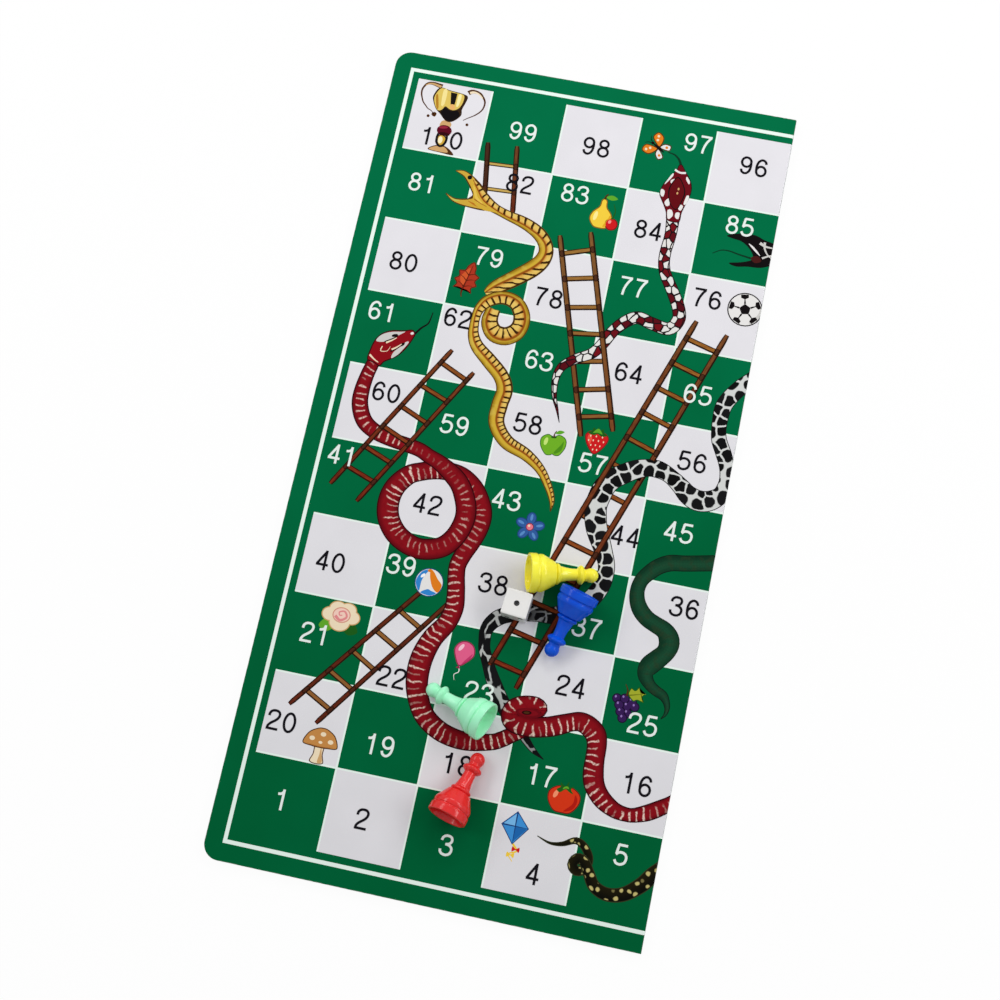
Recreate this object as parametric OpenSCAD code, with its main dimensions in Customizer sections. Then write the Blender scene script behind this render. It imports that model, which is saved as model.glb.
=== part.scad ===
// Folding snakes and ladders board, folded with its print outside, with four pawns and a die lying on it.
// The origin is under the middle of the folded board. X runs across the columns, with the fold at +X,
// Y runs up the rows and Z is up.

/* [Board] */
// Side of one playing square
square = 30; // [24:1:45]
// Rows of squares
row_count = 10; // [8:1:14]
// Columns of squares on each half
half_columns = 5; // [4:1:8]
// Margin between the squares and the outer edges
border = 10.5; // [6:0.5:20]
// Width of the last column that turns over the fold edge
fold_tuck = 0.75; // [0:0.05:1.5]
// Radius of the cut corners away from the fold
corner_r = 6; // [1:0.5:12]

/* [Layers] */
// Thickness of the grey board core
core_t = 1; // [0.6:0.1:3]
// Thickness of the printed face sheet
face_t = 0.2; // [0.1:0.05:0.4]
// Thickness of the back lining and of the hinge tape
lining_t = 0.1; // [0.05:0.05:0.3]
// Width of the hinge tape on each half
tape_w = 12; // [6:1:25]
// Outer radius of the face sheet where it turns over the fold edge
fold_r = 0.6; // [0.5:0.05:0.8]
// Clearance between the two halves, both folded and open
fold_gap = 0.1; // [0.05:0.05:0.5]

/* [Pawn] */
// Radius of the foot flange
base_r = 7.3; // [6.8:0.1:10]
// Height of the foot flange
flange_h = 2.9; // [1.5:0.1:4]
// Height of the groove above the flange
groove_h = 0.6; // [0.3:0.1:1.2]
// Radius at the bottom of the groove
groove_r = 6.7; // [5.5:0.1:7]
// Height of the ring above the groove
ring_h = 2.3; // [1.5:0.1:3.5]
// Radius of the ring at its upper edge
ring_r = 6.9; // [6:0.1:7.2]
// Height of the shoulder above the ring
shoulder_h = 4; // [2:0.1:6]
// Radius at the top of the shoulder
shoulder_r = 4.4; // [4:0.1:5.5]
// Height of the collar
collar_h = 2; // [1:0.1:3]
// Largest radius of the collar
collar_r = 3.9; // [3.5:0.1:4.4]
// Height of the stem
stem_h = 6.2; // [4:0.1:12]
// Radius of the stem at its foot
stem_foot_r = 3; // [2.4:0.1:3.3]
// Radius of the stem at its top and of the neck
neck_r = 2.2; // [1.5:0.1:2.3]
// Height of the disc under the head
disc_h = 2.9; // [1.5:0.1:4]
// Radius of the disc under the head
disc_r = 3.6; // [3:0.1:5]
// Height of the neck between the disc and the head
neck_h = 0.9; // [0.3:0.1:2]
// Radius of the round head
head_r = 2.7; // [2.4:0.1:4]
// Wall left around the hollow in the foot
wall = 1; // [0.8:0.1:2]
// Depth of the hollow in the foot
hollow_h = 9; // [4:0.5:11]

/* [Die] */
// Side of the die
die_side = 9.6; // [8:0.1:16]
// Diameter of the ball that rounds the corners of the die
die_round_d = 15.8; // [14.5:0.1:16.5]
// Radius of one pip
pip_r = 1.1; // [0.6:0.1:1.2]
// Distance of the outer pips from the middle of a face
pip_pitch = 2.6; // [2.5:0.1:2.8]
// Depth of a pip's pit
pit_depth = 0.4; // [0.2:0.1:0.8]
// Thickness of the paint in a pit
paint_t = 0.15; // [0.05:0.05:0.2]

/* [Places] */
// Clearance between the board and what lies on it
rest_gap = 0.1; // [0.05:0.05:0.3]
// Clearance between pieces that lie side by side
piece_gap = 0.4; // [0.3:0.1:2]
// Direction in which the yellow pawn's head points, in degrees from +X
yellow_angle = 11; // [0:1:20]
// Direction in which the blue pawn's head points
blue_angle = -106; // [-120:1:-95]
// Direction in which the green pawn's head points
green_angle = 160; // [150:1:180]
// Direction in which the red pawn's head points
red_angle = 74; // [60:1:90]
// Direction of the die's sides
die_angle = -5; // [-15:1:0]

/* [Hidden] */
$fn = 64;
arc_steps = 8;
overrun = 1;
paint_gap = 0.05;

// Size and levels of the folded board
half_w = border + half_columns * square - fold_tuck;
half_l = 2 * border + row_count * square;
panel_t = core_t + face_t + lining_t;
outer_x = -half_w / 2;
fold_x = half_w / 2;
fold_z = panel_t + fold_gap / 2;
back_z = panel_t + fold_gap;
board_top = back_z + panel_t;

// Levels of the pawn, counted from its foot
ring_z = flange_h + groove_h;
shoulder_z = ring_z + ring_h;
collar_z = shoulder_z + shoulder_h;
stem_z = collar_z + collar_h;
disc_z = stem_z + stem_h;
neck_z = disc_z + disc_h;
head_z = neck_z + neck_h + sqrt(pow(head_r, 2) - pow(neck_r, 2));
pawn_h = head_z + head_r;

// Fullness of the pawn's curves and narrowing of its hollow, as shares of the radii beside them
ring_swell_share = 0.03;
shoulder_swell_share = 0.04;
stem_hollow_share = -0.08;
hollow_top_share = 0.7;

// The pawn lies on the rim of its flange and on the disc under its head
pawn_tilt = atan((base_r - disc_r) / (disc_z + disc_h / 2 - flange_h));
pawn_lie = max([for (p = pawn_outline()) p.x * cos(pawn_tilt) + p.y * sin(pawn_tilt)]);
pawn_axis_z = board_top + rest_gap + pawn_lie;

// The yellow pawn's place as shares of the half board, the green and red pawns' as shares of a pawn's height
yellow_place_shares = [0.089, -0.117];
green_place_shares = [-0.143, -2.145];
red_place_shares = [-0.402, -3.504];
// How far along the yellow pawn the blue one lies, and how far behind its foot the die lies
blue_along_share = 0.73;
die_behind_share = 0.42;

yellow_place = [yellow_place_shares.x * half_w, yellow_place_shares.y * half_l];
green_place = yellow_place + green_place_shares * pawn_h;
red_place = yellow_place + red_place_shares * pawn_h;
blue_place = beside_yellow(blue_along_share * pawn_h, stem_foot_r + piece_gap + rim_reach(blue_angle - yellow_angle));
die_slant = yellow_angle - die_angle;
die_behind = die_behind_share * die_side;
die_place = beside_yellow(-die_behind,
    base_r + piece_gap + die_side / 2 / cos(die_slant) - die_behind * tan(die_slant));

// A place so far along the yellow pawn and so far to the right of it
function beside_yellow(along, aside) = yellow_place
    + along * [cos(yellow_angle), sin(yellow_angle)]
    + aside * [sin(yellow_angle), -cos(yellow_angle)];

// How far a lying pawn's foot reaches, seen from above, towards one at this angle to it
function rim_reach(angle) = base_r * norm([cos(angle), sin(angle) * sin(pawn_tilt)]);

// Points of an arc about a centre
function arc(centre, r, from, to) = [
    for (i = [0:arc_steps])
        let (a = from + (to - from) * i / arc_steps)
            centre + r * [cos(a), sin(a)]
];

// Points of a bulging or hollowed side between two radii at two levels
function bulge(r0, r1, z0, z1, swell) = [
    for (i = [0:arc_steps])
        let (t = i / arc_steps)
            [r0 + (r1 - r0) * t + swell * sin(180 * t), z0 + (z1 - z0) * t]
];

// Half section of the pawn, from its foot up to the head and down inside the hollow
function pawn_outline() = concat(
    [[base_r, 0], [base_r, flange_h], [groove_r, flange_h], [groove_r, ring_z]],
    bulge(ring_r, ring_r, ring_z, shoulder_z, ring_swell_share * ring_r),
    bulge(ring_r, shoulder_r, shoulder_z, collar_z, shoulder_swell_share * ring_r),
    bulge(stem_foot_r, stem_foot_r, collar_z, stem_z, collar_r - stem_foot_r),
    bulge(stem_foot_r, neck_r, stem_z, disc_z, stem_hollow_share * stem_foot_r),
    bulge(neck_r, neck_r, disc_z, neck_z, disc_r - neck_r),
    arc([0, head_z], head_r, -acos(neck_r / head_r), 90),
    [[0, hollow_h], [hollow_top_share * shoulder_r, hollow_h], [groove_r - wall, ring_z], [base_r - wall, 0]]
);

// Outline of one half seen from above, as far as a given line beside the fold
module half_plan(to_x) {
    polygon(concat(
        [[to_x, -half_l / 2], [to_x, half_l / 2]],
        arc([outer_x + corner_r, half_l / 2 - corner_r], corner_r, 90, 180),
        arc([outer_x + corner_r, corner_r - half_l / 2], corner_r, 180, 270)));
}

// Cross section of a layer with a rounded upper edge at the fold
module wrap_section(from_x, to_x, low_z, high_z, r) {
    polygon(concat(
        [[from_x, high_z], [from_x, low_z], [to_x, low_z]],
        arc([to_x - r, high_z - r], r, 0, 90)));
}

// Runs a cross section the length of the board and trims it to the board's plan
module run_section() {
    intersection() {
        translate([0, half_l / 2, 0]) rotate([90, 0, 0]) linear_extrude(half_l) children();
        linear_extrude(board_top + overrun) half_plan(fold_x);
    }
}

// Turns a piece of the upper, left half into its twin on the lower, right half
module right_half() {
    translate([0, 0, 2 * fold_z]) mirror([0, 0, 1]) children();
}

// Grey board that stiffens one half
module core() {
    run_section() wrap_section(outer_x, fold_x - face_t, back_z + lining_t, board_top - face_t, fold_r);
}

// Printed sheet over the face and the fold edge of one half
module face_sheet() {
    run_section() difference() {
        wrap_section(outer_x, fold_x, back_z + lining_t, board_top, fold_r);
        wrap_section(outer_x - overrun, fold_x - face_t, back_z - overrun, board_top - face_t, fold_r - face_t);
    }
}

// Paper on the back of one half
module back_lining() {
    translate([0, 0, back_z]) linear_extrude(lining_t) half_plan(fold_x - tape_w);
}

// One half of the tape that hinges the board at its back
module hinge_leaf() {
    translate([fold_x - tape_w, -half_l / 2, back_z]) cube([tape_w, half_l, lining_t]);
}

module left_core() { color("rosybrown") core(); }
module left_face_sheet() { color("seagreen") face_sheet(); }
module left_back_lining() { color("whitesmoke") back_lining(); }
module left_hinge_leaf() { color("darkgreen") hinge_leaf(); }
module right_core() { color("rosybrown") right_half() core(); }
module right_face_sheet() { color("seagreen") right_half() face_sheet(); }
module right_back_lining() { color("whitesmoke") right_half() back_lining(); }
module right_hinge_leaf() { color("darkgreen") right_half() hinge_leaf(); }

// A pawn on its side, with its foot at a place and its head pointing the given way
module lying_pawn(place, turn) {
    translate([place.x, place.y, pawn_axis_z])
        rotate([0, 90 + pawn_tilt, turn])
            rotate_extrude() polygon(pawn_outline());
}

module yellow_pawn() { color("gold") lying_pawn(yellow_place, yellow_angle); }
module blue_pawn() { color("royalblue") lying_pawn(blue_place, blue_angle); }
module green_pawn() { color("aquamarine") lying_pawn(green_place, green_angle); }
module red_pawn() { color("tomato") lying_pawn(red_place, red_angle); }

// Places of the pips on a face with so many, in pip pitches from its middle
function pip_shares(n) = concat(
    n % 2 == 1 ? [[0, 0]] : [],
    n > 1 ? [[-1, -1], [1, 1]] : [],
    n > 3 ? [[-1, 1], [1, -1]] : [],
    n > 5 ? [[-1, 0], [1, 0]] : []
);

// Turns that bring each face of the die up, from one pip to six
face_turns = [[0, 0, 0], [90, 0, 0], [0, 90, 0], [0, -90, 0], [-90, 0, 0], [180, 0, 0]];

module in_die() {
    translate([die_place.x, die_place.y, board_top + rest_gap + die_side / 2]) rotate(die_angle) children();
}

module at_pips() {
    for (face = [0:len(face_turns) - 1])
        rotate(face_turns[face])
            for (share = pip_shares(face + 1))
                translate([share.x * pip_pitch, share.y * pip_pitch, die_side / 2 - pit_depth]) children();
}

module die_body() {
    color("white") in_die() difference() {
        intersection() {
            cube(die_side, center = true);
            sphere(d = die_round_d);
        }
        at_pips() cylinder(h = pit_depth + overrun, r = pip_r);
    }
}

module die_pips() {
    color("black") in_die() at_pips() cylinder(h = paint_t, r = pip_r - paint_gap);
}

left_core();
left_face_sheet();
left_back_lining();
left_hinge_leaf();
right_core();
right_face_sheet();
right_back_lining();
right_hinge_leaf();
yellow_pawn();
blue_pawn();
green_pawn();
red_pawn();
die_body();
die_pips();
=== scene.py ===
import math

import bmesh
import bpy
from mathutils import Matrix, Vector
from mathutils.geometry import delaunay_2d_cdt


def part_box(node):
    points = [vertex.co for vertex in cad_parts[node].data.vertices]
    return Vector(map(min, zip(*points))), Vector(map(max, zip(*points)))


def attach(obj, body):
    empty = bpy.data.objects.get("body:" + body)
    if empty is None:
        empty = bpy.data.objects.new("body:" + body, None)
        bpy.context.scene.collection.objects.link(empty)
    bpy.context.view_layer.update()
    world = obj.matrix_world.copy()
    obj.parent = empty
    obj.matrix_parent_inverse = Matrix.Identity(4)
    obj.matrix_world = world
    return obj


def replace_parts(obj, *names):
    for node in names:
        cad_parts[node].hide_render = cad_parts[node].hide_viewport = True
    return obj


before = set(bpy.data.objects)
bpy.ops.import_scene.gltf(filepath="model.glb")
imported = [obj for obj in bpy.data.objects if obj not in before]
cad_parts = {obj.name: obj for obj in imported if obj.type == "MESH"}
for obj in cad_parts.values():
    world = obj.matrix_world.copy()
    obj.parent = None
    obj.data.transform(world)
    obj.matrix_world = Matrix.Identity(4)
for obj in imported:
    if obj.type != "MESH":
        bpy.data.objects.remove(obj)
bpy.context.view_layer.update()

# Sizes, in millimetres unless a name says otherwise
MM = 0.001
SQUARES = 10
HALF_COLUMNS = 5
BORDER = 10.5
CORNER_R = 6.0
CORNER_STEPS = 8
FOLD_R = 0.6
RECESS = 0.1
SHEET_T = 0.1
SUNK = 0.004
TINY = 1e-6

sheet_low, sheet_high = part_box("left_face_sheet")
under_low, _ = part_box("right_face_sheet")
LEFT_X = sheet_low.x / MM
FOLD_X = sheet_high.x / MM
HALF_LENGTH = sheet_high.y / MM
SHEET_TOP = sheet_high.z / MM - RECESS
FOLD_Z = (sheet_high.z + under_low.z) / 2 / MM
SQUARE = 2 * (HALF_LENGTH - BORDER) / SQUARES
GRID_X = LEFT_X + BORDER
GRID_Y = BORDER - HALF_LENGTH
BEND_X = FOLD_X - FOLD_R
BEND_R = FOLD_R - RECESS
BEND_Z = sheet_high.z / MM - FOLD_R
BEND_END = BEND_X + BEND_R * math.pi / 2
SHEET_END = BEND_END + BEND_Z - sheet_low.z / MM
BEND_STEPS = 5

# Heights of the printed layers above the bare sheet
LINE_H = 0.004
UNDER_LADDER_H = 0.0062
UNDER_RAIL_STEP = 0.001
MOTIF_H = 0.008
LOW_LADDER_H = 0.019
LOW_RAIL_STEP = 0.003
NETTED_H = 0.025
SNAKE_H = 0.029
COIL_H = 0.034
RED_H = 0.036
RED_TOP_H = 0.046
SPIRAL_H = 0.049
HEAD_H = 0.054
LADDER_H = 0.068
RAIL_STEP = 0.006
NUMBER_H = 0.09
INK_STEP = 0.0015
SAME_LAYER_STEP = 0.2
SAME_LAYER_TURNS = 5


def rgb(red, green, blue):
    """A colour given in display values, 0 to 255, as a linear one."""
    def linear(value):
        share = value / 255
        return share / 12.92 if share <= 0.04045 else ((share + 0.055) / 1.055) ** 2.4
    return (linear(red), linear(green), linear(blue), 1.0)


# Worn edges of the print, in metres, and its varnish; threads of the hinge tape
WORN_EDGE = (0.00004, 0.0003)
WORN_SHARE = 0.3
BARE_PAPER = rgb(226, 226, 222)
PRINT_GLOSS = 0.015
THREADS = math.tau / 0.0006


# Node materials


class Value:
    """A number, colour or place that runs from node to node and can be reckoned with like a number."""

    def __init__(self, look, socket):
        self.look = look
        self.socket = socket

    def maths(self, operation, other=0.0):
        return self.look.add("Math", {0: self, 1: other}, operation=operation)

    def __add__(self, other):
        return self.maths("ADD", other)

    def __sub__(self, other):
        return self.maths("SUBTRACT", other)

    def __rsub__(self, other):
        return self.look.add("Math", {0: other, 1: self}, operation="SUBTRACT")

    def __mul__(self, other):
        return self.maths("MULTIPLY", other)

    def __truediv__(self, other):
        return self.maths("DIVIDE", other)

    def __gt__(self, other):
        return self.maths("GREATER_THAN", other)

    def __abs__(self):
        return self.maths("ABSOLUTE")

    def least(self, other):
        return self.maths("MINIMUM", other)

    def most(self, other):
        return self.maths("MAXIMUM", other)

    def ramp(self, low=0.3, high=0.7, start=0.0, end=1.0):
        """Carried smoothly from one range, by default that of a noise, to another."""
        inputs = {0: self, 1: low, 2: high, 3: start, 4: end}
        return self.look.add("MapRange", inputs, interpolation_type="SMOOTHSTEP")

    def mix(self, first, second):
        return self.look.mix(self, first, second)


class Look:
    """The nodes of a material or of the world, with the shader that they feed."""

    def __init__(self, owner, shader="Principled BSDF"):
        owner.use_nodes = True
        self.owner = owner
        self.tree = owner.node_tree
        self.shader = self.tree.nodes[shader]

    def put(self, socket, value):
        if isinstance(value, Value):
            self.tree.links.new(value.socket, socket)
        else:
            socket.default_value = value

    def set(self, **inputs):
        for name, value in inputs.items():
            self.put(self.shader.inputs[name.replace("_", " ")], value)

    def add(self, kind, inputs=None, output=0, **settings):
        node = self.tree.nodes.new("ShaderNode" + kind)
        for key, value in settings.items():
            setattr(node, key, value)
        for key, value in (inputs or {}).items():
            self.put(node.inputs[key], value)
        return Value(self, node.outputs[output])

    def parts(self, place):
        first = self.add("SeparateXYZ", {0: place})
        return [Value(self, socket) for socket in first.socket.node.outputs]

    def mix(self, share, first, second, blend="MIX"):
        return self.add("Mix", {0: share, 6: first, 7: second}, 2, data_type="RGBA", blend_type=blend)

    def place(self):
        return self.add("TexCoord", output="Object")

    def flat(self, along, aside):
        return self.add("CombineXYZ", {0: along, 1: aside})

    def noise(self, place, scale, detail=3.0, stretch=None):
        if stretch:
            place = self.add("Mapping", {"Vector": place, "Scale": stretch})
        return self.add("TexNoise", {"Vector": place, "Scale": scale, "Detail": detail})

    def wavy(self, place, scale, amount):
        """Places shifted a little this way and that, so that straight lines become uneven."""
        drift = self.add("TexNoise", {"Vector": place, "Scale": scale, "Detail": 2.0}, "Color")
        drift = self.add("VectorMath", {0: drift, 1: (0.5, 0.5, 0.5)}, operation="SUBTRACT")
        drift = self.add("VectorMath", {0: drift, "Scale": amount}, operation="SCALE")
        return self.add("VectorMath", {0: place, 1: drift}, operation="ADD")

    def voronoi(self, place, size, randomness, feature, output):
        inputs = {"Vector": place, "Scale": 1 / size, "Randomness": randomness}
        return self.add("TexVoronoi", inputs, output, voronoi_dimensions="2D", feature=feature)

    def pick(self, place, size, randomness):
        """One random value for each cell."""
        return self.add("SeparateColor", {0: self.voronoi(place, size, randomness, "F1", "Color")})

    def cells(self, place, size, randomness, line, corner):
        """Rounded cells, as a share that is 1 inside and 0 in the gaps."""
        gap = self.voronoi(place, size, randomness, "DISTANCE_TO_EDGE", "Distance")
        reach = self.voronoi(place, size, randomness, "F1", "Distance")
        return gap.ramp(line, line * 1.5).least(reach.ramp(corner, corner + 0.08, 1.0, 0.0))

    def strip(self):
        """Along, aside, across from -1 to 1, and distance from the edge of a printed strip, in squares."""
        along, aside, _ = self.parts(self.add("UVMap", uv_map="print"))
        half = self.add("Attribute", output="Fac", attribute_name="half")
        return along, aside, aside / half, half - abs(aside)

    def marks(self):
        """Three values that a strip carries along for its look."""
        return self.parts(self.add("Attribute", output="Vector", attribute_name="marks"))

    def bump(self, strength, distance, height):
        inputs = {"Strength": strength, "Distance": distance, "Height": height}
        self.set(Normal=self.add("Bump", inputs))

    def printed(self, colour):
        """Printed paper: uneven ink, a dull varnish, the grain of the sheet and edges worn to the paper."""
        place = self.place()
        x, y, _ = self.parts(place)
        colour = self.mix(1.0, colour, self.noise(place, 60.0).ramp(start=0.985, end=1.015), "MULTIPLY")
        inside = (FOLD_X * MM - x).least(x - LEFT_X * MM).least(HALF_LENGTH * MM - abs(y))
        worn = inside.ramp(*WORN_EDGE, WORN_SHARE, 0.0) * self.noise(place, 520.0).ramp(0.42, 0.62)
        grain = self.noise(place, 2400.0, 4.0)
        self.set(Base_Color=worn.mix(colour, BARE_PAPER), Roughness=grain.ramp(start=0.42, end=0.54),
                 Specular_IOR_Level=PRINT_GLOSS)
        self.bump(0.12, 0.00004, grain)
        return self.owner

    def outlined(self, colour, edge, width, line):
        """Print with a line along the edges of a strip."""
        return self.printed(edge.ramp(width * 0.75, width * 1.25, 1.0, 0.0).mix(colour, line))

    def show(self, output, shown, lit):
        """What the camera, gloss and glass show, and apart from it the light that falls on things."""
        seen = self.add("LightPath", output="Is Camera Ray")
        for kind in ("Glossy", "Transmission"):
            seen = seen.most(self.add("LightPath", output=f"Is {kind} Ray"))
        shader = self.add("MixShader", {0: seen, 1: lit, 2: shown})
        self.put(self.tree.nodes[output].inputs["Surface"], shader)


def material_look(name):
    return Look(bpy.data.materials.new(name))


def board_colour(name, top, foot):
    """One ink of the squares, with painted shade: lighter at the top and darker towards the foot of the
    board.
    """
    look = material_look(name)
    place = look.place()
    up = look.parts(place)[1]
    # Painted shade: the share runs from the top tone to the darker foot tone along the board, with a little
    # noise
    share = up.ramp(-0.15, 0.15, 0.94, 0.06) + look.noise(place, 18.0)
    return look.printed((share - 0.5).mix(top, foot))


def printed_ink():
    look = material_look("printed_ink")
    return look.printed(look.add("Attribute", output="Color", attribute_name="ink"))


def ladder_wood(name, top, foot, dark_side):
    """Brown strokes with their own tones at the top and foot of a ladder, and a dark line along one side."""
    look = material_look(name)
    along, aside, across, edge = look.strip()
    down, straw, dark = look.marks()
    grain = look.noise(look.flat(along, aside), 1.0, 4.0, (9.0, 70.0, 1.0))
    colour = grain.ramp().mix(down.mix(top[1], foot[1]), down.mix(top[0], foot[0]))
    colour = straw.mix(colour, rgb(204, 172, 92))
    colour = dark.mix(colour, rgb(62, 38, 27))
    colour = (across * dark_side).ramp(0.3, 0.6).mix(colour, rgb(40, 18, 10))
    return look.outlined(colour, edge, 0.012, rgb(36, 18, 10))


def gold_snake():
    """A yellow belly and slanting panels; marks: the line between them, the panels and their slant."""
    look = material_look("gold_snake")
    along, aside, across, edge = look.strip()
    divide, count, slant = look.marks()
    place = look.flat(along, aside)
    step = (count + across * slant + look.noise(place, 9.0) * 0.5).maths("FRACT")
    over = across - divide
    panel = over.ramp(0.05, 0.5).mix(rgb(200, 134, 50), rgb(230, 195, 102))
    panel = look.noise(place, 14.0).ramp(0.45, 0.7, 0.0, 0.5).mix(panel, rgb(206, 150, 56))
    panel = step.ramp(0.24, 0.38).mix(rgb(58, 32, 10), panel)
    belly = across.ramp(-0.9, -0.4).mix(rgb(150, 116, 24), rgb(208, 172, 56))
    belly = look.noise(place, 10.0).ramp(0.5, 0.7, 0.0, 0.5).mix(belly, rgb(214, 188, 88))
    colour = over.ramp(-0.04, 0.04).mix(belly, panel)
    colour = abs(over).ramp(0.06, 0.2, 0.95, 0.0).mix(colour, rgb(146, 74, 20))
    colour = across.ramp(0.72, 0.84).mix(colour, rgb(40, 26, 8))
    return look.outlined(colour, edge, 0.012, rgb(84, 54, 14))


def red_snake():
    """Dark red with uneven pale bars between two places across the body, as strong as marked."""
    look = material_look("red_snake")
    along, aside, across, edge = look.strip()
    start, end, strong = look.marks()
    place = look.flat(along, aside)
    red = abs(across).ramp(0.35, 1.0).mix(rgb(138, 18, 28), rgb(92, 10, 20))
    red = look.noise(place, 16.0).ramp(0.4, 0.7, 0.0, 0.35).mix(red, rgb(108, 10, 20))
    count = along * 12.0 + look.noise(place, 5.0) * 1.6
    step = count.maths("FRACT")
    chance = look.add("TexWhiteNoise", {"W": count.maths("FLOOR")}, "Value", noise_dimensions="1D")
    bar = step.ramp(0.34, 0.44) * step.ramp(0.56, 0.68, 1.0, 0.0)
    where = across + (look.noise(place, 30.0) - 0.5) * 0.5
    last = end + (chance - 0.6) * 0.7
    inside = (where - start).ramp(-0.1, 0.1) * (last - where).ramp(-0.1, 0.1)
    worn = look.noise(place, 45.0).ramp(0.36, 0.56, 0.35, 1.0)
    power = strong * worn * chance.ramp(0.1, 0.4, 0.25, 1.0)
    colour = (bar * inside * power).mix(red, rgb(232, 204, 190))
    return look.outlined(colour, edge, 0.014, rgb(44, 6, 12))


def patched_snake():
    """Pale and dark red patches that mostly take turns along and across the body, with black between."""
    look = material_look("patched_snake")
    along, aside, across, edge = look.strip()
    place = look.wavy(look.flat(along * 0.72, aside), 10.0, 0.03)
    cell = (place, 0.078, 0.7)
    inside, pick = look.cells(*cell, 0.075, 0.62), look.pick(*cell)
    x, y, _ = look.parts(look.voronoi(*cell, "F1", "Position"))
    turn = (x / 0.085).maths("FLOOR") + (y > 0.0)
    pale = ((turn * 0.5).maths("FRACT") > 0.25).most(pick > 0.86)
    patch = pale.mix(pick.mix(rgb(122, 20, 28), rgb(70, 14, 24)), rgb(228, 226, 222))
    black = rgb(26, 16, 20)
    return look.outlined(inside.mix(black, patch), edge, 0.012, black)


def netted_snake():
    """Black rounded cells in a pale net; marks: where it thins out to long cells, and how pale it is."""
    look = material_look("netted_snake")
    along, aside, across, edge = look.strip()
    thin, _, pale = look.marks()
    place = look.wavy(look.flat(along, aside), 7.0, 0.06)
    cell = (place, 0.155, 0.6)
    inside, pick = look.cells(*cell, 0.06, 0.47), look.pick(*cell)
    longer = look.add("VectorMath", {0: place, 1: (0.45, 1.0, 1.0)}, operation="MULTIPLY")
    long_inside = look.cells(longer, 0.13, 0.85, 0.065, 0.62)
    long_inside = long_inside.most(look.noise(place, 4.0).ramp(0.52, 0.58))
    inside = inside * (1.0 - thin) + long_inside * thin
    black = pick.mix(rgb(13, 13, 14), rgb(25, 25, 27))
    colour = inside.mix(pale.mix(black, rgb(212, 214, 212)), black)
    return look.outlined(colour, edge, 0.01, rgb(20, 20, 22))


def green_snake():
    look = material_look("green_snake")
    along, aside, across, edge = look.strip()
    place = look.flat(along, aside)
    body = abs(across - 0.15).ramp(0.0, 1.0).mix(rgb(27, 74, 50), rgb(15, 52, 34))
    body = look.noise(place, 11.0, 5.0).ramp(0.46, 0.66, 0.0, 0.6).mix(body, rgb(42, 62, 40))
    scales = look.voronoi(place, 0.035, 0.4, "DISTANCE_TO_EDGE", "Distance")
    colour = scales.ramp(0.02, 0.14, 0.25, 0.0).mix(body, rgb(20, 40, 30))
    return look.outlined(colour, edge, 0.01, rgb(14, 34, 24))


def spotted_snake():
    look = material_look("spotted_snake")
    along, aside, across, edge = look.strip()
    cell = (look.wavy(look.flat(along, aside), 9.0, 0.04), 0.1, 0.75)
    near, pick = look.voronoi(*cell, "F1", "Distance"), look.pick(*cell)
    spot = near.ramp(0.16, 0.3, 1.0, 0.0) * pick.ramp(0.25, 0.3) * edge.ramp(0.012, 0.024)
    body = across.ramp(-0.9, 0.9).mix(rgb(12, 12, 8), rgb(30, 26, 12))
    return look.outlined(spot.mix(body, rgb(196, 184, 116)), edge, 0.01, rgb(50, 52, 30))


def plastic(name, colour, deep, gloss=0.3):
    """Glossy moulded plastic with a faint flow of tone and a slightly uneven skin."""
    look = material_look(name)
    place = look.place()
    look.set(Base_Color=look.noise(place, 130.0, 2.0).ramp().mix(colour, deep),
             Roughness=look.noise(place, 500.0).ramp(start=0.13, end=0.2), Specular_IOR_Level=gloss,
             Subsurface_Weight=0.06, Subsurface_Radius=(0.002, 0.002, 0.002))
    look.bump(0.08, 0.0001, look.noise(place, 260.0, 2.0))
    return look.owner


def grey_board():
    """Raw edge of pressed board: fine plies and loose fibres."""
    look = material_look("grey_board")
    plies = look.noise(look.place(), 1.0, 4.0, (160.0, 160.0, 5200.0))
    look.set(Base_Color=plies.ramp().mix(rgb(140, 134, 124), rgb(184, 178, 168)), Roughness=0.9)
    look.bump(0.5, 0.0001, plies)
    return look.owner


def lining_paper():
    look = material_look("lining_paper")
    fibre = look.noise(look.place(), 900.0, 5.0)
    look.set(Base_Color=fibre.ramp().mix(rgb(222, 219, 212), rgb(234, 232, 227)),
             Roughness=fibre.ramp(start=0.7, end=0.85))
    look.bump(0.25, 0.00005, fibre)
    return look.owner


def hinge_tape():
    """Plain weave of a bookbinder's cloth."""
    look = material_look("hinge_tape")
    x, y, _ = look.parts(look.place())
    weave = (x * THREADS).maths("SINE") * (y * THREADS).maths("SINE")
    look.set(Base_Color=weave.ramp(-1.0, 1.0).mix(rgb(8, 62, 40), rgb(20, 92, 60)), Roughness=0.75)
    look.bump(0.6, 0.00008, weave)
    return look.owner


# Curves


def smooth_path(points, step, closed=False):
    """Points along a smooth curve through the given ones, about so far apart."""
    points = [Vector(p) for p in points]
    count = len(points)
    spans = count if closed else count - 1
    found = []
    for i in range(spans):
        if closed:
            before, start, end, after = (points[(i + k - 1) % count] for k in range(4))
        else:
            start, end = points[i], points[i + 1]
            before = points[i - 1] if i else start * 2 - end
            after = points[i + 2] if i + 2 < count else end * 2 - start
        pieces = max(1, math.ceil((end - start).length / step))
        for k in range(pieces):
            t = k / pieces
            found.append(0.5 * (2 * start + (end - before) * t
                         + (2 * before - 5 * start + 4 * end - after) * t * t
                         + (3 * start - before - 3 * end + after) * t ** 3))
    if not closed:
        found.append(points[-1])
    return found


def lengths(points):
    """How far along a path each of its points lies."""
    total = [0.0]
    for i in range(1, len(points)):
        total.append(total[-1] + (points[i].xy - points[i - 1].xy).length)
    return total


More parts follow.
